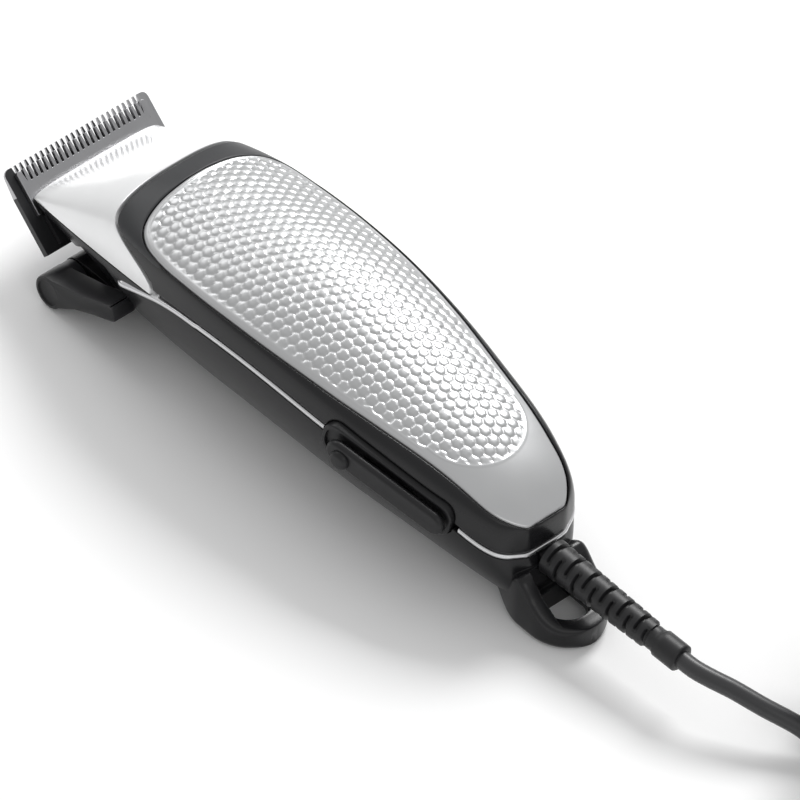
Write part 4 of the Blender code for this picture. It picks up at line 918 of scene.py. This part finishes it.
def switch():
    """The recessed plate, the long domed button with its nub, and the switch behind them."""
    matrix = switch_matrix()
    plate = prism("switch_plate", rounded_outline(38.0, 10.0, 3.7), -3.2, 0.4, matrix, edge=0.35)
    dish = prism("dish", rounded_outline(36.2, 8.2, 3.3), -0.35, 2.0, matrix)
    slot = prism("slot", rounded_outline(16.0, 3.4, 1.5), -5.0, 5.0, matrix)
    piece("switch_plate", shaped(plate, removed=[dish, slot]), "black_plastic", "housing", ["switch_bezel"])
    slid = matrix @ Matrix.Translation((-1.2 * MM, 0, 0))
    button = prism("switch_button", rounded_outline(34.5, 6.6, 3.25, 10), 0.7, 3.1, slid, edge=1.1, steps=5)
    nub = turned("nub", [(2.6, 1.5), (2.6, 3.2), (2.45, 3.8), (2.1, 4.2), (1.5, 4.45), (0.6, 4.5)],
                 slid @ Matrix.Translation((12.6 * MM, 0.6 * MM, 0)))
    stem = box("stem", (-4.0, -1.2, -4.6), (4.0, 1.2, 1.0), matrix)
    piece("switch_button", shaped(button, joined=[nub, stem]), "black_plastic", "slider", ["switch_slider"])


# --- blades ---


def blade_matrix():
    """Axes of the blades: the first to the right, the second towards the tips, the third into the clipper."""
    return frame_matrix(spot((0.0, 0.0, TIP_HEIGHT)), (1, 0, 0),
                        (0, -math.sin(BLADE_SLOPE), math.cos(BLADE_SLOPE)))


def screw_shift(side):
    return Matrix.Translation((side * BLADE_SCREW_X * MM, -BLADE_SCREW_REACH * MM, 0))


def blade_place(side):
    return blade_matrix() @ screw_shift(side)


def toothed_outline(width, depth, teeth, tooth_length, setback):
    """A blade's outline in its own plane: a row of pointed teeth between two end fins with round corners."""
    half, row = width / 2, TOOTH_PITCH * teeth / 2
    root = -setback - tooth_length
    corner = 0.6 * (half - row - 0.3)
    turns = [math.pi / 8 * k for k in range(5)]
    right = [(half, -setback - depth), (half, -UNSHADED_LENGTH)]
    right += [(half - corner * (1 - math.cos(turn)), -setback - corner * (1 - math.sin(turn)))
              for turn in turns]
    right.append((row + 0.3, -setback))
    tooth = [(0.50, root), (0.40, root + 0.6 * tooth_length), (0.24, -setback)]
    outline = list(right)
    for k in reversed(range(teeth)):
        centre = TOOTH_PITCH * (k + 0.5) - row
        outline += [(centre + reach, y) for reach, y in tooth]
        outline += [(centre - reach, y) for reach, y in reversed(tooth)]
    return outline + [(-x, y) for x, y in reversed(right)]


def blades():
    """The comb, thinned towards its tips and painted dark behind them as painted shade, and the cutter that
    lies on it.
    """
    matrix = blade_matrix()
    outline = toothed_outline(COMB_WIDTH, COMB_DEPTH, TOOTH_COUNT, COMB_TOOTH, 0.0)
    mesh = prism("comb_blade", outline, -2.0, 0.0, Matrix.Identity(4))
    slots = [prism("slot", rounded_outline(3.8, 8.0, 1.85), -4.0, 4.0, screw_shift(side)) for side in (-1, 1)]
    tongue = prism("tongue", [(-3.6, -26.4), (3.6, -26.4), (3.6, -21.0), (-3.6, -21.0)], -1.8, -0.2,
                   Matrix.Identity(4))
    mesh = shaped(mesh, [tongue], slots, bevel=0.07)
    for vertex in mesh.vertices:
        vertex.co.z *= 1 - 0.75 * min(max((vertex.co.y / MM + 8.0) / 8.0, 0.0), 1.0)
    mesh.transform(matrix)
    comb = piece("comb_blade", mesh, "blade_steel", "comb", ["fixed_blade"], smooth=20)
    # Comb faces behind the bright tips, all but the outer face, get the dark steel as painted shade.
    comb.data.materials.append(FINISHES["painted_shade_steel"])
    inner = matrix.to_3x3().col[2]
    for face in comb.data.polygons:
        along = (matrix.inverted() @ face.center).y / MM
        if along < -UNSHADED_LENGTH and face.normal.dot(inner) > -0.5:
            face.material_index = 1
    outline = toothed_outline(CUTTER_WIDTH, CUTTER_DEPTH, TOOTH_COUNT - 1, CUTTER_TOOTH, CUTTER_SETBACK)
    mesh = prism("cutter_blade", outline, 0.25, 1.55, matrix)
    piece("cutter_blade", shaped(mesh, bevel=0.07), "blade_steel", "cutter", ["moving_blade"], smooth=20)


# --- taper lever ---


def taper_lever():
    """A round hub with a tapering arm, blunt at its end."""
    outline = []
    for k in range(49):
        angle = LEVER_ANGLE + math.radians(62) + math.radians(236) * k / 48
        outline.append((4.5 * math.cos(angle), 4.5 * math.sin(angle)))
    arm = [(9.0, -2.5), (16.0, -2.2), (23.8, -2.4), (24.4, -1.8), (24.4, 1.6), (23.8, 2.2),
           (14.0, 2.4), (8.0, 3.2)]
    for reach, side in arm:
        outline.append((reach * math.cos(LEVER_ANGLE) - side * math.sin(LEVER_ANGLE),
                        reach * math.sin(LEVER_ANGLE) + side * math.cos(LEVER_ANGLE)))
    rows = [world([(x, SHAFT_STATION + a, SHAFT_HEIGHT + b) for a, b in outline])
            for x in (LEVER_FACE, LEVER_FACE + 7.0)]
    arm_mesh = shaped(loft("lever", rows), bevel=0.55)
    hub = turned("hub", [(4.4, 0.5), (4.4, 9.2)], shaft_matrix(LEVER_FACE))
    ring = turned("ring", [(3.5, -1.0), (3.5, 0.35), (3.1, 0.5)], shaft_matrix(LEVER_FACE))
    bore = turned("bore", [(1.85, 0.0), (1.85, 20.0)], shaft_matrix(LEVER_FACE + 3.0))
    mesh = shaped(arm_mesh, [hub], [ring, bore])
    lever = piece("lever_arm", mesh, "lever_satin", "taper_lever", ["taper_lever"])
    # The outer side faces get a darker black than the rest of the lever: painted shade on the side turned
    # away from the key light.
    lever.data.materials.append(FINISHES["black_plastic"])
    for face in lever.data.polygons:
        if face.normal.x < -0.9:
            face.material_index = 1


# --- cord ---


def strain_relief():
    """A tapered sleeve whose slots are bridged in turn above and beside, with a plain collar at its end."""
    length = (Vector(RELIEF_END) - Vector(RELIEF_START)).length
    pitch = (length - 9.0) / RELIEF_RIBS
    angles = 2 * math.pi * np.arange(72) / 72
    levels = np.concatenate([np.linspace(0, pitch * RELIEF_RIBS, RELIEF_RIBS * 16 + 1),
                             [length - rest for rest in (8.6, 8.3, 7.6, 6.8, 6.4, 5.0, 2.0, 0.8, 0.3, 0.0)]])
    rows = []
    for level in levels:
        taper = 4.5 - 1.0 * min(level / (pitch * RELIEF_RIBS), 1.0)
        along = (level / pitch) % 1.0
        rib = int(level / pitch)
        radius = np.full(len(angles), taper)
        if level < pitch * RELIEF_RIBS - 0.01:
            depth = smooth_share((along - 0.52) / 0.12) * smooth_share((1.0 - along) / 0.12)
            quarter = math.pi / 2 * (rib % 2)
            side = np.abs((angles - quarter + math.pi / 2) % math.pi - math.pi / 2)
            radius -= 1.2 * depth * smooth_share((side - math.radians(22)) / math.radians(10))
        elif level < length - 6.9:
            radius -= 0.5
        else:
            from_end = min(level - (length - 6.8), length - level) + 0.02
            radius = np.full(len(angles), 3.5 - edge_roll(from_end, 0.5))
        rows.append(np.column_stack([radius * np.cos(angles), radius * np.sin(angles),
                                     np.full(len(angles), level)]) * MM)
    mesh = loft("relief", rows, axis_matrix(RELIEF_START, RELIEF_END))
    root = box("root", (-2.4, 160.5, 12.4), (2.4, 168.2, 17.2))
    piece("relief_sleeve", shaped(mesh, [root]), "cord_rubber", "housing", ["strain_relief"], smooth=50)


def cord():
    """The whole cord as one curve: out of the relief, round the coil and up into the plug."""
    dense = curve_through(cord_route(), 900)
    curve = bpy.data.curves.new("cord_run", "CURVE")
    curve.dimensions = "3D"
    curve.bevel_depth = CORD_DIAMETER / 2 * MM
    curve.bevel_resolution = 6
    curve.use_fill_caps = True
    spline = curve.splines.new("POLY")
    spline.points.add(len(dense) - 1)
    for slot, point in zip(spline.points, world(dense)):
        slot.co = (*point, 1.0)
    spline.use_smooth = True
    curve.materials.append(FINISHES["cord_sheath"])
    obj = bpy.data.objects.new("cord_run", curve)
    bpy.context.scene.collection.objects.link(obj)
    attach(obj, "housing")
    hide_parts("mains_cord", "cord_coil", "plug_lead")


def plug():
    """A flat two-pin plug: a waisted body with finger ribs, and a ribbed sleeve where the cord enters."""
    entry = spot((PLUG_AXIS_X, PLUG_ENTRY_STATION, PLUG_HEIGHT))
    matrix = frame_matrix(entry, (1, 0, 0), (0, 0, 1))
    corners = [(-4.6, 8.5), (-9.0, 9.7), (-13.5, 11.9), (-16.2, 14.5), (-17.4, 18.0), (-17.6, 22.0),
               (-17.6, 28.0), (-17.2, 29.6), (-16.0, 30.3)]
    half = curve_through(corners, 40)
    outline = np.vstack([[(-3.9, 4.0)], half, (half * [-1, 1])[::-1], [(3.9, 4.0)]])
    body = prism("plug_shell", outline, -6.6, 6.6, matrix, edge=1.6, steps=5)
    profile = [(3.0, 0.6)]
    for k in range(3):
        level = 1.0 + 2.4 * k
        rib = 3.6 + 0.15 * k
        profile += [(rib, level), (rib, level + 1.3), (3.0, level + 1.5), (3.0, level + 2.2)]
    profile += [(4.2, 8.4), (4.4, 13.0)]
    sleeve = turned("sleeve", profile, matrix @ Matrix.Rotation(math.radians(-90), 4, "X"))
    grooves = []
    for side in (-1, 1):
        for k in range(5):
            level = 17.0 + 2.2 * k
            low, high = (-9.0, level, side * 6.9 - 0.6), (9.0, level + 0.9, side * 6.9 + 0.6)
            grooves.append(box("groove", low, high, matrix))
    mesh = shaped(body, [sleeve], grooves)
    piece("plug_shell", mesh, "cord_rubber", "housing", ["plug_body"])


# --- floor, lights and finish ---

CARRIED = {
    "zinc_steel": ["blade_screw_left", "blade_screw_right", "taper_shaft", "core_screw_front",
                   "core_screw_rear", "drive_arm", "spring_bracket", "power_screw", "clamp_screw_left",
                   "clamp_screw_right", "housing_screw_front", "housing_screw_middle", "housing_screw_rear"],
    "spring_steel": ["cutter_spring", "leaf_spring"],
    "lamination_steel": ["stator_core", "armature_block"],
    "copper_winding": ["coil_winding"],
    "white_nylon": ["drive_guide", "taper_cam", "coil_bobbin", "terminal_block"],
    "black_plastic": ["switch_body", "cord_clamp", "coil_tie"],
    # The blade support gets the dark steel as painted shade.
    "painted_shade_steel": ["blade_support"],
    "nickel_pin": ["plug_pin_left", "plug_pin_right"],
}


def finish_carried_nodes():
    for finish, names in CARRIED.items():
        for name in names:
            for slot in bpy.data.objects[name].material_slots:
                slot.material = FINISHES[finish]


def floor():
    made = bpy.data.materials.new("floor")
    made.use_nodes = True
    shader = made.node_tree.nodes["Principled BSDF"]
    shader.inputs["Base Color"].default_value = (0.92, 0.92, 0.92, 1)
    shader.inputs["Roughness"].default_value = 0.9
    mesh = bpy.data.meshes.new("floor")
    corners = [(a * FLOOR_HALF, b * FLOOR_HALF, FLOOR_LEVEL) for a, b in ((-1, -1), (1, -1), (1, 1), (-1, 1))]
    mesh.from_pydata(corners, [], [(0, 1, 2, 3)])
    mesh.materials.append(made)
    obj = bpy.data.objects.new("floor", mesh)
    bpy.context.scene.collection.objects.link(obj)


def area_light(name, place, target, size, power):
    data = bpy.data.lights.new(name, "AREA")
    data.shape = "RECTANGLE"
    data.size, data.size_y = size
    data.energy = power
    obj = bpy.data.objects.new(name, data)
    obj.location = place
    obj.rotation_euler = (Vector(target) - Vector(place)).to_track_quat("-Z", "Y").to_euler()
    bpy.context.scene.collection.objects.link(obj)


def lights():
    """Even light from a white room and three soft panels, shown in plain tones."""
    world_shade = bpy.data.worlds.new("studio")
    world_shade.use_nodes = True
    background = world_shade.node_tree.nodes["Background"]
    background.inputs["Color"].default_value = (1, 1, 1, 1)
    background.inputs["Strength"].default_value = ROOM_LIGHT
    bpy.context.scene.world = world_shade
    for row in LIGHTS:
        area_light(*row)
    bpy.context.scene.view_settings.view_transform = "Standard"


make_camera()
plug()
cord()
lower_housing()
grip_ring()
head_cover()
grip_panel()
trims()
switch()
blades()
taper_lever()
strain_relief()
finish_carried_nodes()
floor()
lights()
